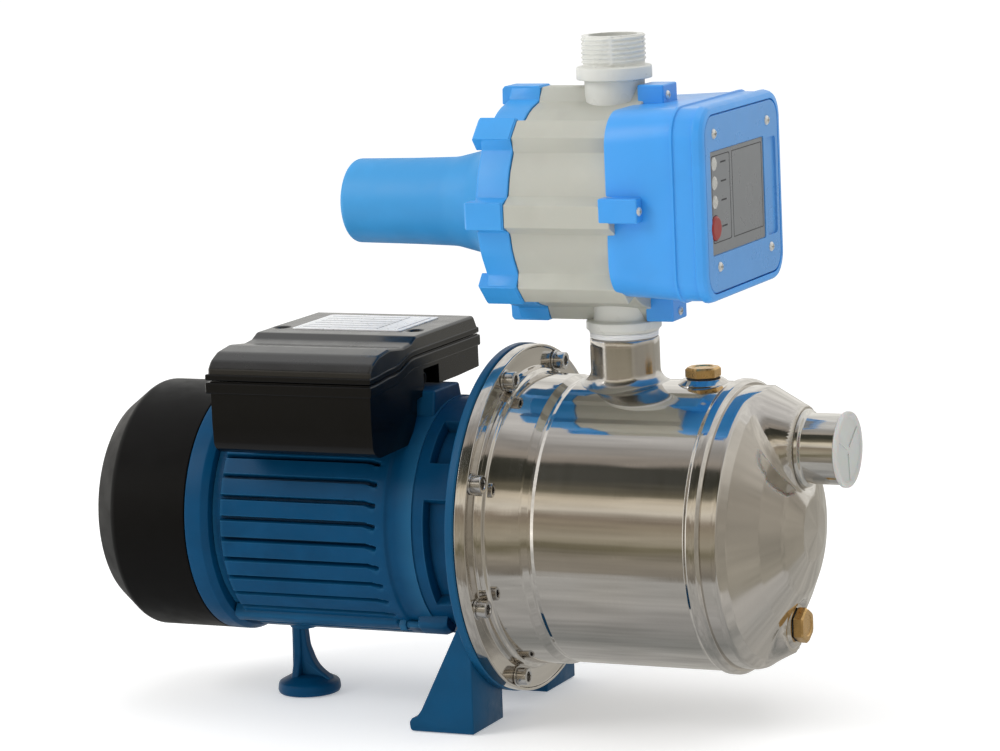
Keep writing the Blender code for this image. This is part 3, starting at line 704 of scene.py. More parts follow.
def rear_bracket():
    front, back = high("rear_bracket").x, low("rear_bracket").x
    outline = [(front, 17.8), (front, 61), (front + 0.01, REAR_RING_R - 2.4, 0.6),
               (front - 3.5, REAR_RING_R, 1.5)]
    outline += [(back, REAR_RING_R, 1.0), (back, 62), (-166, 62), (-166, 24), (back, 24), (back, 8.5)]
    outline += [(back + 2.1, 8.5), (back + 2.1, 17.8)]
    make("rear_bracket_casting", lathe(fillet(outline, 0, 4), steps=128), BLUE, ["rear_bracket"])


def fin_radius(turn, x):
    """The housing's radius: wide flat fins and narrow grooves, which hook down at the pump's end."""
    pitch = 360 / FIN_COUNT
    hook = 1.1 * smooth(x, -71, -64) * (1 if cos(radians(turn)) > 0 else -1)
    from_groove = abs(((turn + hook) % pitch) - pitch / 2)
    groove = 1 - smooth(from_groove, 0.5, 1.3)
    groove *= 1 - smooth(x, -65.5, -62.5)
    depth = groove * (FIN_R - FIN_ROOT_R)
    rear_step = (1 - smooth(x, -155.4, -153.2)) * 4.4
    front_step = smooth(x, -58.5, -56.5) * 1.3
    return FIN_R - max(depth, rear_step) - front_step


def motor_housing():
    pitch = 360 / FIN_COUNT
    parts = (-0.5, -0.26, -0.2, -0.16, -0.13, -0.09, -0.05, 0, 0.05, 0.09, 0.13, 0.16, 0.2, 0.26)
    turns = [pitch * (fin + 0.5 + part) for fin in range(FIN_COUNT) for part in parts]
    rear, front = HOUSING_X
    places = [rear, -157, -155.4, -154.8, -154.2, -153.7, -153.2, -151, -120, -90, -71, -69.5, -68, -67, -66,
              -65.4]
    places += [-64.8, -64.2, -63.6, -63, -62.4, -59.5, -58.5, -57.8, -57.2, -56.5, -53, front]
    rings = [[(x, *polar(fin_radius(turn, x), turn)) for turn in turns] for x in places]
    rings.append([(front, *polar(BORE_R, turn)) for turn in turns])
    rings.append([(rear, *polar(BORE_R, turn)) for turn in turns])
    make("motor_housing_casting", loft(rings, loop=True), BLUE, ["motor_housing"], sharp=28)

    side = [(-27, 56), (-24.5, 69.5), (5.5, 69.5), (10, 56)]
    bevel(make("terminal_box_pad", prism(side, (-139, -44)), BLUE), 1.2)
    bm = lathe(fillet([(-66, 0), (-66, 7.5, 0.8), (-56, 9.5), (-56, 0)], 0), "Z", (FOOT_X - 1.2, 0, 0), 40)
    make("rear_foot_boss", bm, BLUE)
    for name, turn in (("near", -53), ("far", -127)):
        tie_bar(name, turn)


def standing(section, x, turn, centre_z=0):
    """The section's ring at x. Each of its points is a radius and a sideways offset, at this angle."""
    ring = []
    for out, side in section:
        y, z = polar(out, turn)
        ring.append((x, y + side * sin(radians(turn)), centre_z + z + side * cos(radians(turn))))
    return ring


def tie_bar(name, turn):
    """The boss that holds a long tie bolt, below the fins, with the bolt's nut at its front end."""
    section = fillet([(60, -4.6), (66.8, -4.0, 2.5), (66.8, 4.0, 2.5), (60, 4.6)], 0, 4)
    rings = []
    for x, drop in ((-159, 0), (-68, 0), (-64, 0.6), (-62.5, 3)):
        rings.append(standing([(out - drop if out > 61 else out, side) for out, side in section], x, turn))
    bevel(make(f"tie_bar_{name}", loft(rings), BLUE), 0.6, 2)
    at = (0, *polar(64.6, turn))
    bm = lathe(fillet([(-62.5, 0), (-62.5, 3.6, 0.5), (-58.6, 3.6, 0.5), (-58.6, 0)], 0, 2), "X", at, 6)
    lathe(fillet([(-58.7, 0), (-58.7, 2.0), (-51.2, 2.0, 0.3), (-51.2, 0)], 0, 2), "X", at, 20, bm)
    make(f"tie_nut_{name}", bm, BLUE)


# Bracket and feet.


POCKETS = ((-38, 18), (-142, -108), (162, 218), (36, 62), (118, 144), (-88, -64), (-116, -92))


def bracket_radius(turn, x):
    """The neck's radius: a plain band by the motor, then pockets between ribs, up to the flange."""
    flare = smooth(x, -17, -11.2)
    radius = NECK_R + 7 * flare * flare
    pocket = 0
    for start, end in POCKETS:
        for shift in (-360, 0, 360):
            inside = smooth(turn + shift, start, start + 1.2) * (1 - smooth(turn + shift, end - 1.2, end))
            pocket = max(pocket, inside)
    reach = smooth(x, -36.6, -35.6)
    return radius - pocket * reach * (6 + 4 * flare)


def front_bracket():
    neck = -50.7
    turns = []
    for degree in range(-90, 270):
        turns += [degree, degree + 0.5]
    places = [neck + 0.8, -44, -37.5, -36.7, -36.2, -35.6, -34, -28, -20, -17, -15.5, -14, -13, -12, -11.2]
    rings = [[(neck, *polar(NECK_R - 0.8, turn)) for turn in turns]]
    rings += [[(x, *polar(bracket_radius(turn, x), turn)) for turn in turns] for x in places]
    back, front = -11.0, BRACKET_FRONT_X
    for x, radius in ((back, 71), (back, BRACKET_R - 0.9), (back + 0.3, BRACKET_R - 0.3),
                      (back + 0.9, BRACKET_R),
                      (front - 0.6, BRACKET_R), (front, BRACKET_R - 0.6), (front, 40), (back, 40), (back, 55),
                      (-45, 55), (-45, 25), (-32, 25), (-32, 20.3), (neck, 20.3)):
        rings.append([(x, *polar(radius, turn)) for turn in turns])
    make("front_bracket_casting", loft(rings, loop=True), BLUE, ["front_bracket"], sharp=40)
    for name, side in (("near", -1), ("far", 1)):
        leg(name, side)
    for name, turn in (("near", -53), ("far", -127)):
        bracket_boss(name, turn)
    bm = prism([(-30, 60), (-12, 74), (-10, 74), (-10, 58), (-30, 58)], (-13, -9.5), "Y")
    bevel(make("bracket_gusset", bm, BLUE), 0.8)


def bracket_boss(name, turn):
    rings = []
    for x, grow in ((-50.7, -0.8), (-50, 0), (-37, 0), (-34, -1.5)):
        section = fillet([(58, -6.5), (68 + grow, -5.5, 3), (68 + grow, 5.5, 3), (58, 6.5)], 0, 4)
        rings.append(standing(section, x, turn))
    bevel(make(f"bracket_boss_{name}", loft(rings), BLUE), 0.6, 2)


def leg(name, side):
    """A cast leg: a wedge that leans back to a toe, with a rounded lip along its sole."""
    sole = SOLE_Z
    outline = [(-11.0, -42), (-15, -41), (-18.5, -47, 6), (-40.6, -90.3, 5), (-43.4, -94.0, 2),
               (-46.2, -94.8, 1.8)]
    outline += [(-47.7, -97, 1.5), (-47.2, sole, 1.8), (-11.2, sole, 0.8), (-10.8, -60)]
    inner, outer = 28.5, 65.7
    top = fillet(outline, 0, 5)
    rings = []
    for y, shrink in ((inner, 0.4), (inner + 0.6, 0), (outer - 0.6, 0), (outer, 0.4)):
        ring = []
        for x, z in top:
            pull = Vector((-28 - x, -75 - z)).normalized() * shrink
            ring.append((x + pull.x, side * y, max(sole, z + pull.y)))
        rings.append(ring)
    piece = make(f"front_leg_{name}", loft(rings), BLUE, sharp=50)
    hollow = [(-14, -60), (-17, -60), (-38.5, sole - 1), (-14, sole - 1)]
    subtract(piece, prism(hollow, (side * (inner + 5), side * (outer - 5)), "Y"), 50)
    settle(bevel(piece, 0.5, 2))


def rear_foot():
    """A round foot, domed on top, on a stem of crossed ribs."""
    sole = SOLE_Z
    base = [(sole, 0), (sole, 16.3, 0.8), (sole + 1.8, 17.0, 0.8), (sole + 5.8, 16.6, 2.5),
            (sole + 9.2, 10, 3)]
    base += [(sole + 10.2, 0)]
    make("rear_foot_base", lathe(fillet(base, 0, 5), "Z", (FOOT_X, 0, 0), 72), BLUE, ["rear_foot"])
    top = -63.5
    stem = [(-147.6, sole + 6), (-147.0, -80), (-146.6, top), (-139.4, top), (-138.2, -76, 14),
            (-134, -87, 18)]
    stem += [(-125.4, sole + 8.4, 1), (-125.4, sole + 6)]
    bevel(make("rear_foot_web", prism(fillet(stem, 0, 6), (-3.1, 3.1), "Y"), BLUE), 1.2)
    side = [(4.6, top), (5.0, -82, 8), (9.5, sole + 8, 3), (9.5, sole + 6)]
    side = [(p.x, p.y) for p in fillet(side, 0, 5, closed=False)]
    across = side + [(-y, z) for y, z in reversed(side)]
    bevel(make("rear_foot_rib", prism(across, (-145.4, -141.2)), BLUE), 1.2)


# Terminal box.


def seam_height(y):
    """Where the lid meets the box: level at the front, and higher at the back."""
    return 82.0 + 1.6 * smooth(y, -84, -60) + 5.1 * smooth(y, -58, -34)


def terminal_box():
    left, right = BOX_LEFT_X, BOX_RIGHT_X
    ys = [-85.6, -80, -74, -68, -62, -57, -52, -47, -42, -38, -34, -30, -20, 0, 20, 35, 45.6]
    seam = [(y, seam_height(y)) for y in ys]
    underside = [(45.6, 71), (18.7, 70.2), (-24, 70.2, 1), (-24.4, 66.5, 0.5), (-32, 65.8, 1), (-32.4, 58, 4)]
    underside += [(-39.5, 47.5, 4), (-45, 44.2, 3), (-78, 43.6, 8), (-85, 47.5, 6), (-85.8, 60)]
    bm = prism(seam + fillet(underside, 0, 6, closed=False), (left + 2.6, right - 1.0))
    base = make("terminal_box_tray", bm, BOX_BLACK, ["terminal_box_base"])
    subtract(base, cuboid((right - 9, -22.5, 68.5), (right + 2, -4, 80.5)))
    hollow = [(y, z + 1) for y, z in seam[1:-1]] + [(42, 74), (-28, 74), (-36, 59), (-46, 47.5), (-78, 47),
                                                    (-82, 50)]
    subtract(base, prism(hollow, (left + 5.5, right - 10)))
    bevel(base, 1.6, 4, 40)

    # The proud rim that the lid sits on, which follows the seam.
    rim_y = [-87.0] + ys[1:-1] + [47.2]
    band = [(y, seam_height(y) - 0.5) for y in rim_y] + [(y, seam_height(y) - 6.4) for y in reversed(rim_y)]
    bm = prism(band, (left, right))
    cut_y = [-83.6] + ys[2:-2] + [43.8]
    deep = [(y, seam_height(y) + 3) for y in cut_y] + [(y, seam_height(y) - 9) for y in reversed(cut_y)]
    rim = subtract(make("terminal_box_rim", bm, BOX_BLACK), prism(deep, (left + 3.4, right - 3.4)))
    bevel(rim, 0.9, 3, 40)

    lid(left + 0.8, right - 0.8)
    gland = [(right - 8.8, 2.6), (right - 8.8, 3.5, 0.5), (right - 4, 3.5, 0.5), (right - 4, 2.6)]
    make("cable_gland_ring", lathe(fillet(gland, 0, 3), "X", (0, -16.4, 74.5), 32),
         LOOKS["rubber"], ["cable_gland"])


def lid(left, right):
    """The lid: a flange on the rim, and above it a wave from the low front to the flat top."""
    back = [40, 20, 0, -20, -30, -34, -38, -42, -47, -52, -57, -62, -68, -74, -80]
    band = [(-86.4, seam_height(-86) + 0.4), (-86.4, seam_height(-86) + 3.6)]
    band += [(y, seam_height(y) + 3.6) for y in reversed(back)]
    band += [(46.6, seam_height(46) + 3.6), (46.6, seam_height(46) + 0.4)]
    bm = prism(band + [(y, seam_height(y) + 0.4) for y in back], (left - 1.0, right + 0.4))
    bevel(make("terminal_box_lid_flange", bm, BOX_BLACK, sharp=40), 0.8, 3, 40)
    wave = [(-85.0, 84), (-84.8, 88.4, 2.5), (-81.4, 92.2, 6), (-74, 95.6, 12), (-61, 97.2, 14),
            (-45, 95.4, 12)]
    wave += [(-36, 96.2, 8), (-30, LID_TOP_Z, 5), (41.5, LID_TOP_Z, 3), (45.4, 93, 2),
             (46.0, seam_height(46) + 2)]
    bm = prism(fillet(wave, 0, 7, closed=False) + [(y, seam_height(y) + 2) for y in back], (left, right))
    piece = make("terminal_box_lid", bm, LID_BLACK, ["terminal_box_cover"], sharp=40)
    dimples = bmesh.new()
    dimple_x = (left + 6.5, right - 9)
    for x in dimple_x:
        lathe([(95.6, 0), (95.6, 3.4), (101, 4.3), (101, 0)], "Z", (x, -12, 0), 28, bm=dimples)
    subtract(piece, dimples, 40)
    bevel(piece, 1.5, 4, 40)
    for index, x in enumerate(dimple_x, 1):
        cross_screw(f"lid_screw_{index}", (x, -12, 95.5), "Z", 3.0, LOOKS["moulding_black"])
    rating_plate()


def rating_plate():
    """A blank rating plate: a bright sheet with an embossed border and empty ruled rows."""
    corner, opposite = low("rating_plate"), high("rating_plate")
    middle_x, middle_y = (corner.x + opposite.x) / 2, (corner.y + opposite.y) / 2
    half_x, half_y = (opposite.x - corner.x) / 2, (opposite.y - corner.y) / 2
    bm = prism(rounded_box(half_x, half_y, 2, (middle_x, middle_y)), (LID_TOP_Z - 0.2, LID_TOP_Z + 0.5), "Z")
    bevel(make("rating_plate_sheet", bm, LOOKS["plate"], ["rating_plate"]), 0.15, 2)
    bm = bmesh.new()
    for index in range(6):
        y = corner.y + 6 + index * (2 * half_y - 12) / 5
        cuboid((corner.x + 4, y - 0.2, LID_TOP_Z + 0.4), (opposite.x - 16, y + 0.2, LID_TOP_Z + 0.62), bm=bm)
    for x in (opposite.x - 15.5, opposite.x - 3.5):
        cuboid((x - 0.2, corner.y + 4, LID_TOP_Z + 0.4), (x + 0.2, opposite.y - 4, LID_TOP_Z + 0.62), bm=bm)
    make("rating_plate_rules", bm, PALE_PRINT)


def cross_screw(name, at, axis, radius, look):
    """A pan-head screw with a cross recess. Its head stands on the point and faces along the axis."""
    height = radius * 0.62
    head = [(0, 0), (0, radius, 0.1), (height * 0.45, radius, radius * 0.3),
            (height, radius * 0.62, radius * 0.4)]
    head += [(height, 0)]
    screw = make(name, lathe(fillet(head, 0, 4), axis, at, 32), look)
    a, b = radius * 0.62, radius * 0.17
    cross = [(a, b), (b, b), (b, a), (-b, a), (-b, b), (-a, b)]
    cross += [(-u, -v) for u, v in cross]
    rings = []
    for along in (height * 0.35, height * 1.5):
        rings.append([Vector(turn_to((along, u, v), axis)) + Vector(at) for u, v in cross])
    subtract(screw, loft(rings))


# Pump.


def pump_casing():
    back = -FLANGE_THICK
    outside = [(back, 77), (back, FLANGE_R, 0.7), (0.2, FLANGE_R, 1.2), (0.2, 89.2, 0.4), (-0.6, 88.6, 0.4)]
    outside += [(-0.4, 79.2, 0.6), (1.0, 78.4, 0.8), (3.5, 78.0, 1.2), (4.6, 75.9, 1.5), (23.5, 75.3, 3)]
    outside += [(27.0, 73.3, 1.2), (28.6, 73.4, 0.8), (30.6, BARREL_R, 1.6), (111.2, BARREL_R, 1.2)]
    outside += [(113.4, 75.5, 1.8), (117.6, 75.5, 1.8), (119.6, 73.7, 0.6), (119.6, 71.9)]
    inside = [(28, 71.9), (5, 72.6), (1, 76.8), (back + 0.01, 76.9)]
    bm = lathe(fillet(outside + inside, 0, 5), steps=192)
    casing = make("pump_barrel", bm, STEEL, ["pump_casing"], sharp=30)
    subtract(casing, lathe([(60, 0), (60, 15), (90, 15), (90, 0)], "Z", (OUTLET_X, 0, 0), 40), 30)


def dome_profile():
    """The head's side as (X, radius): a straight skirt, a knuckle and a flattened cone."""
    side = [(HEAD_X - 0.6, HEAD_R), (127.4, HEAD_R - 0.2, 3), (131.4, 67.0, 6), (141.5, 48, 30),
            (148.5, 33, 30)]
    side += [(153.6, 16, 16), (DOME_APEX_X, 0)]
    return fillet(side, 0, 8, closed=False)


def boss_height(y, z, centre_z, face_x, face_r, steep):
    """X of a pressed boss: a flat face that falls away on all sides."""
    away = hypot(y, z - centre_z)
    return face_x - steep * max(0, away - face_r)


def head_point(x, radius, turn):
    """A point of the head with its two pressed bosses, for the inlet and for the drain plug."""
    y, z = polar(radius, turn)
    inlet = boss_height(y, z, INLET_Z, INLET_SEAT_X, 21.5, 1.9)
    drain = boss_height(y, z, DRAIN_Z, DRAIN_SEAT_X, 14.5, 1.9)
    x = smooth_max(x, inlet, 4.5)
    if radius > 8:
        x = smooth_max(x, drain, 4)
        seat = 1 - smooth(hypot(y, z - DRAIN_Z), 10.4, 14)
        x += (DRAIN_SEAT_X - x) * seat
    seat = 1 - smooth(hypot(y, z - INLET_Z), 20.4, 23)
    x += (INLET_SEAT_X - x) * seat
    return (x, y, z)


def casing_head():
    profile = dome_profile()
    fine = []
    for (x0, r0), (x1, r1) in zip(profile, profile[1:]):
        parts = max(1, int(hypot(x1 - x0, r1 - r0) / 1.1))
        fine += [(x0 + (x1 - x0) * k / parts, r0 + (r1 - r0) * k / parts) for k in range(parts)]
    steps = 240
    turns = [360 * k / steps for k in range(steps)]
    sheet = 1.6
    rings = []
    for x, radius in fine:
        if x > HEAD_X + 2 or radius < HEAD_R - 1:
            rings.append([head_point(x, radius, turn) for turn in turns])
        else:
            rings.append([(x, *polar(radius, turn)) for turn in turns])
    bm = loft(rings, caps=False)
    bmesh.ops.remove_doubles(bm, verts=bm.verts, dist=0.001)
    rim = [vert for vert in bm.verts if vert.is_boundary and vert.co.x > HEAD_X + 5]
    bmesh.ops.contextual_create(bm, geom=rim)
    bmesh.ops.recalc_face_normals(bm, faces=bm.faces)
    head = make("pump_head", bm, HEAD_STEEL, ["casing_head"], sharp=60)
    thick = head.modifiers.new("sheet", "SOLIDIFY")
    thick.thickness = sheet * MM
    thick.offset = -1
    settle(head)
    holes = cylinder((135, 160), 15.3, "X", (0, 0, INLET_Z), 48)
    cylinder((130, 150), 6.6, "X", (0, 0, DRAIN_Z), 32, holes)
    subtract(head, holes, 60)


def inlet():
    first, last = SOCKET_X
    outline = [(first - 0.4, 15.4), (first - 0.4, 20.2, 0.6), (first + 1.6, 19.8, 1.2),
               (first + 2.6, 18, 1.0)]
    outline += [(last - 0.2, 18, 0.5), (last - 0.2, 16.2, 0.4), (last - 3, 15.4)]
    make("inlet_nipple", lathe(fillet(outline, 0, 5), "X", (0, 0, INLET_Z), 96),
         INLET_STEEL, ["inlet_socket"])
    end = CAP_END_X
    outline = [(last - 10, 13.4), (last - 10, 14.9, 0.4), (last + 0.1, 14.9), (last + 0.1, 19.3, 0.6),
               (end, 19.3, 1.0)]
    outline += [(end, 17.2, 0.6), (end - 1.2, 16.2, 0.6), (end - 1.4, 0), (end - 2.6, 0), (last, 13.4)]
    bm = lathe(fillet(outline, 0, 4), "X", (0, 0, INLET_Z), 96)
    for angle in (35, 155, 275):
        u = Vector((0, cos(radians(angle)), sin(radians(angle))))
        v = Vector((0, -sin(radians(angle)), cos(radians(angle))))
        rings = []
        for x in (end - 1.6, end - 0.7):
            centre = Vector((x, 0, INLET_Z))
            rings.append([centre + u * a + v * b for a,
                          b in ((2, -0.5), (15.8, -0.5), (15.8, 0.5), (2, 0.5))])
        loft(rings, bm=bm)
    make("inlet_cap_moulding", bm, LOOKS["white_plastic"], ["inlet_cap"], "inlet_cap")


def outlet_pipe():
    """The outlet, drawn out of the barrel with a fillet, up to the controller."""
    steps = 128
    flare = 6.5
    rings = []
    levels = [(PIPE_R + flare * (1 - sin(radians(a))), flare * (1 - cos(radians(a)))) for a in range(0, 91,
                                                                                                     9)]
    for radius, rise in levels:
        ring = []
        for k in range(steps):
            angle = 2 * pi * k / steps
            y = radius * sin(angle)
            ring.append((OUTLET_X + radius * cos(angle), y, sqrt(BARREL_R**2 - y**2) - 0.1 + rise))
        rings.append(ring)
    top = PIPE_TOP_Z
    for radius, z in ((PIPE_R, top - 4), (PIPE_R, top - 0.5), (PIPE_R - 0.5, top), (PIPE_R - 1.2, top),
                      (PIPE_R - 1.6, top - 1), (PIPE_R - 1.6, 70)):
        rings.append(circle(z, radius, steps, "Z", (OUTLET_X, 0, 0)))
    make("discharge_neck", loft(rings, caps=False, loop=True), PIPE_STEEL, ["discharge_pipe"], sharp=50)
    rings = []
    bottom = low("thread_tape").z
    for radius, z in ((17.0, bottom - 0.1), (17.5, bottom + 0.2), (17.7, bottom + 1.0), (17.5, bottom + 1.5),
                      (17.75, bottom + 2.1), (17.5, bottom + 2.8), (17.0, bottom + 3.0)):
        ring = []
        for k in range(96):
            angle = 2 * pi * k / 96
            rough = 0.22 * noise.noise(Vector((3 * cos(angle), 3 * sin(angle), z * 0.9)))
            ring.append((OUTLET_X + (radius + rough) * cos(angle), (radius + rough) * sin(angle), z + rough))
        rings.append(ring)
    make("thread_tape_wrap", loft(rings), LOOKS["tape"], ["thread_tape"])


def hex_plug(node, washer, seat, axis, at):
    """A brass hexagon plug with a chamfered head and a threaded shank."""
    flats = 8.0
    rings = []
    for along, size, round_r in ((seat, flats, 9.0), (seat + 0.4, flats, 9.24), (seat + 4.0, flats, 9.24),
                                 (seat + 5.0, flats - 0.5, 8.1)):
        ring = []
        for k in range(72):
            angle = 2 * pi * k / 72
            fold = (angle + pi / 6) % (pi / 3) - pi / 6
            radius = min(size / cos(fold), round_r)
            ring.append(Vector(turn_to((along, radius * cos(angle), radius * sin(angle)), axis)) + Vector(at))
        rings.append(ring)
    rings += [circle(seat + 5.0, 5.6, 72, axis, at), circle(seat + 4.6, 5.2, 72, axis, at)]
    bm = loft(rings)
    pitch = 1.34
    first, last = seat - 9.8, seat + 0.3
    rings = thread(5.7, 0.45, pitch, (first, last), 8, 48, 0.2, (0.8 * pitch, 0.5 * pitch, 1), axis, at)
    loft([circle(first, 0.05, 48, axis, at), *rings, circle(last, 0.05, 48, axis, at)], bm=bm)
    make(f"{node}_hexagon", bm, LOOKS["brass"], [node], node, sharp=25)
    bottom, top = {"Z": (low(washer).z, high(washer).z), "X": (low(washer).x, high(washer).x)}[axis]
    ring = [(bottom, 6.3), (bottom, 8.4, 0.4), (top, 8.4, 0.4), (top, 6.3)]
    make(f"{node}_washer", lathe(fillet(ring, 0, 3), axis, at, 48), LOOKS["rubber"], [washer], washer)


def thread(radius, depth, pitch, ends, per_turn, steps, land, fades, axis, at, flats=()):
    """Rings of a screw thread. It fades at both ends, and at the mould's parting lines, the flats."""
    first, last = ends
    fade_in, fade_out, loss = fades
    rows = int((last - first) / pitch * per_turn)
    rings = []
    for row in range(rows + 1):
        along = first + (last - first) * row / rows
        fade = smooth(along, first, first + fade_in) * (1 - loss * smooth(along, last - fade_out, last))
        ring = []
        for k in range(steps):
            angle = 2 * pi * k / steps
            phase = (along / pitch - k / steps) % 1
            height = min(1, max(0, (1 - abs(2 * phase - 1) - land) / (1 - 2 * land)))
            keep = 1
            for flat in flats:
                off = abs((degrees(angle) - flat + 180) % 360 - 180)
                keep *= smooth(off, 2.5, 4.5)
            r = radius + depth * (height * fade * keep + (1 - keep) * 0.85)
            ring.append(Vector(turn_to((along, r * cos(angle), r * sin(angle)), axis)) + Vector(at))
        rings.append(ring)
    return rings


def plugs():
    hex_plug("fill_plug", "fill_washer", low("fill_plug").z + 10, "Z", (FILL_X, 0, 0))
    hex_plug("drain_plug", "drain_washer", low("drain_plug").x + 10, "X", (0, 0, DRAIN_Z))
    top = high("fill_washer").z
    seat = [(71.5, 6.7), (71.5, 14.2), (73.8, 13.2, 0.8), (top - 0.6, 10.2, 0.5), (top - 0.6, 8.8),
            (74.3, 8.8), (74.3, 6.7)]
    make("fill_seat", lathe(fillet(seat, 0, 4), "Z", (FILL_X, 0, 0), 64), STEEL)
    top = high("drain_washer").x - 0.3
    seat = [(139.5, 6.8), (139.5, 13), (DRAIN_SEAT_X, 12.4, 0.4), (top, 10.6, 0.4), (top, 8.8),
            (DRAIN_SEAT_X + 0.2, 8.8)]
    seat += [(DRAIN_SEAT_X + 0.2, 6.8)]
    make("drain_seat", lathe(fillet(seat, 0, 4), "X", (0, 0, DRAIN_Z), 64), HEAD_STEEL)


def flange_bolts():
    """Socket-head screws with a washer, round the casing's flange."""
    for index in range(8):
        turn = 22.5 + 45 * index
        at = (0, BOLT_CIRCLE_R * cos(radians(turn)), BOLT_CIRCLE_R * sin(radians(turn)))
        head = [(-11.7, 0), (-11.7, 2.9), (0.7, 2.9), (0.7, 4.6, 0.2), (6.0, 4.6, 0.6), (6.0, 2.9),
                (5.6, 2.5), (2.8, 2.5)]
        head += [(2.5, 0)]
        bm = lathe(fillet(head, 0, 3), "X", at, 36)
        screw = make(f"flange_screw_{index + 1}", bm, BRIGHT, [f"flange_bolt_{index + 1}"], sharp=25)
        subtract(screw, cylinder((2.6, 7), 2.75, "X", at, 6), 25)
        ring = [(-0.35, 3.1), (-0.35, 5.6, 0.2), (0.6, 5.6, 0.3), (0.6, 3.1)]
        make(f"flange_screw_washer_{index + 1}", lathe(fillet(ring, 0, 2), "X", at, 36), BRIGHT)


# Pressure controller.


def lobed(root_r, rib_r, foot_half, top_half, rounding, centre_z):
    """A round outline with eight ribs whose sides slope in."""
    points = []
    for rib in range(8):
        turn = 45 * rib
        base = degrees(asin(foot_half / root_r))
        crest = degrees(asin(top_half / rib_r))
        corners = [(root_r, -base, 1.2), (rib_r, -crest, rounding), (rib_r, crest, rounding),
                   (root_r, base, 1.2)]
        corners += [(root_r, 15 + base / 2, 0), (root_r, 30 - base / 2, 0)]
        for radius, angle, size in corners:
            y, z = polar(radius, turn + angle)
            points.append((y, z + centre_z, size))
    return fillet(points, 0, 3)


def controller_body():
    z = CONTROLLER_Z
    first, last = BODY_X
    rings = []
    for x, inset in ((first, 0.5), (first + 0.5, 0), (last - 0.5, 0), (last, 0.5)):
        rings.append([(x, *p) for p in lobed(CHAMBER_R - inset, RIB_R - inset, 9.6, 5.6, 0.8, z)])
    body = make("controller_chamber", loft(rings), GREY, ["controller_body"], sharp=30)
    at = (OUTLET_X, 0, 0)
    lower = [(82, 9), (82, NIPPLE_R - 0.3), (100, NIPPLE_R - 0.3), (100, 18.2, 0.4), (101.2, 18.2, 0.3)]
    lower += [(101.4, 19.3, 0.4), (105.6, 19.3, 0.6), (106.2, 15.4, 0.8), (115, 15.4), (115, 9)]
    make("lower_nipple", lathe(fillet(lower, 0, 4), "Z", at, 96), THREAD_GREY)
    top = NIPPLE_TOP_Z
    neck = [(214, 12.5), (214, 15.4), (228.6, 15.4, 0.8), (229.2, 19.3, 0.5), (235.6, 19.3, 0.8),
            (236, 16, 0.3)]
    neck += [(237.2, 15.6), (top - 0.6, 15.6, 0.3), (top - 0.1, 15.2), (top - 0.1, 12.5)]
    bm = lathe(fillet(neck, 0, 4), "Z", at, 96)
    rings = thread(15.8, 0.75, 2.309, (237.0, top), 10, 120, 0.25, (0.8, 0.8, 0.7), "Z", at, (-72, 100))
    rings += [circle(end, 12.6, 120, "Z", at) for end in (top, 237.0)]
    loft(rings, loop=True, bm=bm)
    make("upper_nipple", bm, THREAD_GREY, ["outlet_nipple"])
    subtract(body, cylinder((first - 1, 62), 44, "X", (0, 0, z), 64), 30)
    subtract(body, cylinder((205, 226), 12.5, "Z", at, 48), 30)


def controller_rear():
    z = CONTROLLER_Z
    edge = high("controller_rear_cover").x
    rings = []
    for x, root, rib in ((-3.6, 42, 42), (-3.6, 51.5, 51.5), (-2.4, 53.6, 53.6), (-1.6, 53.9, 58),
                         (-0.6, 54.2, 60.0),
                         (edge - 0.4, 54.2, 60.4), (edge, 53.8, 60.0)):
        rings.append([(x, *p) for p in lobed(root, max(rib, root + 0.01), 8.6, 7.0, 0.8, z)])
    ring = make("controller_ring", loft(rings, caps=True), RING_BLUE, ["controller_rear_cover"], sharp=30)
    subtract(ring, lathe([(-6, 0), (-6, 22), (2, 42), (edge + 1, 42), (edge + 1, 0)], "X", (0, 0, z), 64),
             30)
    for index in range(8):
        lug(f"ring_lug_{index + 1}", 45 * index, -6.6, edge - 0.6, z)
    outside = [(-96, 0), (-96, 22.0, 3.5), (-60, 22.5, 30), (-36, 23.2, 30), (-20, 27.0, 20), (-9, 34, 12)]
    outside += [(-3.4, 49, 2), (-2.6, 50), (-2.6, 42)]
    inside = [(-3, 42), (-5, 22), (-34, 19), (-93, 19), (-93, 0)]
    make("controller_nose", lathe(fillet(outside + inside, 0, 10), "X", (0, 0, z), 128),
         NOSE_BLUE, sharp=40)


def lug(name, turn, first, last, centre_z):
    """A screw lug on the rear ring."""
    rings = []
    for x, grow in ((first, -1.6), (first + 1.6, 0), (last, 0)):
        half = 7.0 + grow * 0.4
        section = ((51, -7.0), (60.5 + grow, -half), (60.5 + grow, half), (51, 7.0))
        rings.append(standing(section, x, turn, centre_z))
    bevel(make(name, loft(rings), RING_BLUE), 0.5, 2)


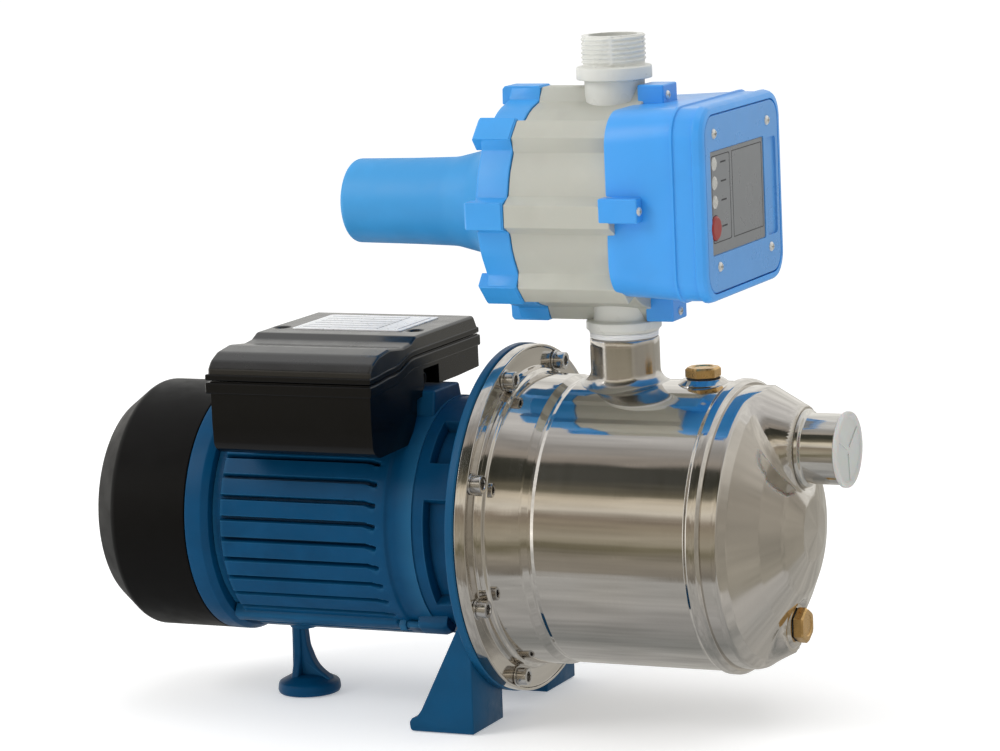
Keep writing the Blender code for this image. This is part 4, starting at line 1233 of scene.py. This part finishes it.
def controller_front():
    first, last = BOX_X
    z = PANEL_Z
    rings = []
    ridge = first + 36
    sections = [(first, 52.8, 45.8, 17.5), (first + 0.5, 53.7, 46.7, 17.5), (first + 1.2, 53.9, 46.9, 17.5),
                (ridge - 0.4, 55.2, 48.2, 15.5), (ridge, 56.2, 49.1, 15.5), (ridge + 1.4, 56.2, 49.1, 15.5),
                (ridge + 1.8, 55.4, 48.3, 15), (last - 5.6, 55.1, 48.2, 15), (last - 5.2, 55.9, 49.0, 15),
                (last - 4.0, 56.0, 49.1, 15), (last - 1.5, 55.2, 48.4, 14), (last - 0.4, 54.2, 47.5, 13),
                (last, 53.2, 46.6, 12.2)]
    for x, half_y, half_z, corner in sections:
        rings.append([(x, *p) for p in rounded_box(half_y, half_z, corner, (BOX_MIDDLE_Y, z), 12)])
    box = make("controller_box", loft(rings, caps=True), CONTROL_BLUE, ["controller_front_box"], sharp=24)
    subtract(box, prism(rounded_box(51.2, 44.7, 11, (BOX_MIDDLE_Y, z), 12), (last - 2.0, last + 2)), 24)
    subtract(box, prism(rounded_box(46, 40, 9, (BOX_MIDDLE_Y, z)), (first + 4, last + 1)), 24)

    top, bottom = high("controller_front_box").z, low("controller_front_box").z
    lugs = (
        ("top", (first + 1.4, -9.5, z + 40), (first + 15.6, 9.5, top)),
        ("bottom", (first + 1.6, -9.5, bottom), (first + 16.6, 9.5, z - 40)),
        ("near", (first - 1.2, -60, 162.6), (first + 19.8, -40, 175)),
        ("far", (first - 1.2, 40, 162.6), (first + 19.8, 60, 175)),
    )
    for name, corner, opposite in lugs:
        bevel(make(f"box_lug_{name}", cuboid(corner, opposite), CONTROL_BLUE), 0.9)
    screws = (("top", 15.4, -4, top - 5.5), ("bottom", 16.4, 0, bottom + 4.5), ("near", 19.6, -57.4, 168.6),
              ("far", 19.6, 57.4, 168.6))
    for name, x, y, height in screws:
        cross_screw(f"box_screw_{name}", (first + x, y, height), "X", 2.3, ZINC)


def button_hole():
    """The cutter for the hole that the restart button slides in."""
    return cylinder((PANEL_FRONT_X - 6, PANEL_FRONT_X + 1), 6.5, "X", (0, INDICATOR_Y, BUTTON_Z), 48)


def control_panel():
    front = PANEL_FRONT_X
    z = PANEL_Z
    rings = []
    for x, half_y, half_z, corner in ((front - 4.2, 50.4, 43.9, 10.4), (front - 2.2, 50.7, 44.2, 10.6),
                                      (front - 1.5, 50.2, 43.7, 10.2)):
        rings.append([(x, *p) for p in rounded_box(half_y, half_z, corner, (BOX_MIDDLE_Y, z), 12)])
    panel = make("panel_face", loft(rings), LOOKS["panel_plastic"], ["control_panel"], sharp=24)
    slot = prism(rounded_box(7.0, 25, 2.2, (41.0, z), 5), (front - 2.7, front))
    label_low, label_high = low("panel_label"), high("panel_label")
    label_low.z, label_high.z = LABEL_Z
    middle = ((label_low.y + label_high.y) / 2, (label_low.z + label_high.z) / 2)
    half = ((label_high.y - label_low.y) / 2, (label_high.z - label_low.z) / 2)
    prism(rounded_box(half[0], half[1], 1, middle, 4), (front - 2.3, front), bm=slot)
    subtract(subtract(panel, slot, 24), button_hole(), 24)
    settle(bevel(panel, 0.35, 2))

    bm = prism(rounded_box(half[0] - 0.4, half[1] - 0.4, 0.8, middle, 4), (front - 2.3, front - 2.0))
    subtract(make("label_sheet", bm, LOOKS["label_film"], ["panel_label"]), button_hole())
    label_frames(front - 2.02, label_low, label_high)
    for index, (y, height) in enumerate(((-38, 205), (36, 204), (-35, 138.5), (37, 139)), 1):
        cross_screw(f"panel_screw_{index}", (front - 1.7, y, height), "X", 2.5, ZINC)
    bm = bmesh.new()
    for height in (171, 180.5, 190):
        lens = [(front - 2.4, 0), (front - 2.4, 3.4), (front - 1.8, 3.4, 0.4), (front - 1.3, 2.5, 0.8),
                (front - 1.2, 0)]
        lathe(fillet(lens, 0, 3), "X", (0, INDICATOR_Y, height), 32, bm=bm)
    make("indicator_lenses", bm, LOOKS["lens_plastic"], ["indicator_lens"])
    cap = [(front - 7.5, 0), (front - 7.5, 6.2), (front - 1.6, 6.2, 0.5), (front - 0.9, 5.2, 0.6),
           (front - 1.1, 0)]
    make("restart_button_cap", lathe(fillet(cap, 0, 4), "X", (0, INDICATOR_Y, BUTTON_Z), 48),
         LOOKS["button_plastic"], ["restart_button"], "restart_button")


def label_frames(x, label_low, label_high):
    """Thin blank frames on the label: one round the indicators, and one round the empty text field."""
    bm = bmesh.new()
    bottom, top = label_low.z + 6, label_high.z - 2.5
    fields = ((label_low.y + 2, label_low.y + 27, 1.5), (label_low.y + 30, label_high.y - 2.5, 0.5))
    for left, right, corner in fields:
        middle, half = ((left + right) / 2, (bottom + top) / 2), ((right - left) / 2, (top - bottom) / 2)
        outer = rounded_box(*half, corner, middle, 4)
        inner = rounded_box(half[0] - 0.4, half[1] - 0.4, corner, middle, 4)
        rings = [[(depth, *p) for p in ring] for ring, depth in ((outer, x - 0.05), (outer, x + 0.08),
                                                                 (inner, x + 0.08), (inner, x - 0.05))]
        loft(rings, loop=True, bm=bm)
    for z in (171, 180.5, 190, BUTTON_Z):
        cuboid((x - 0.05, INDICATOR_Y + 9, z - 0.4), (x + 0.08, INDICATOR_Y + 16, z + 0.4), bm=bm)
    subtract(make("label_rules", bm, PRINT), button_hole())


camera()
studio()
fan_cover()
rear_bracket()
motor_housing()
front_bracket()
rear_foot()
terminal_box()
pump_casing()
casing_head()
inlet()
outlet_pipe()
plugs()
flange_bolts()
controller_body()
controller_rear()
controller_front()
control_panel()
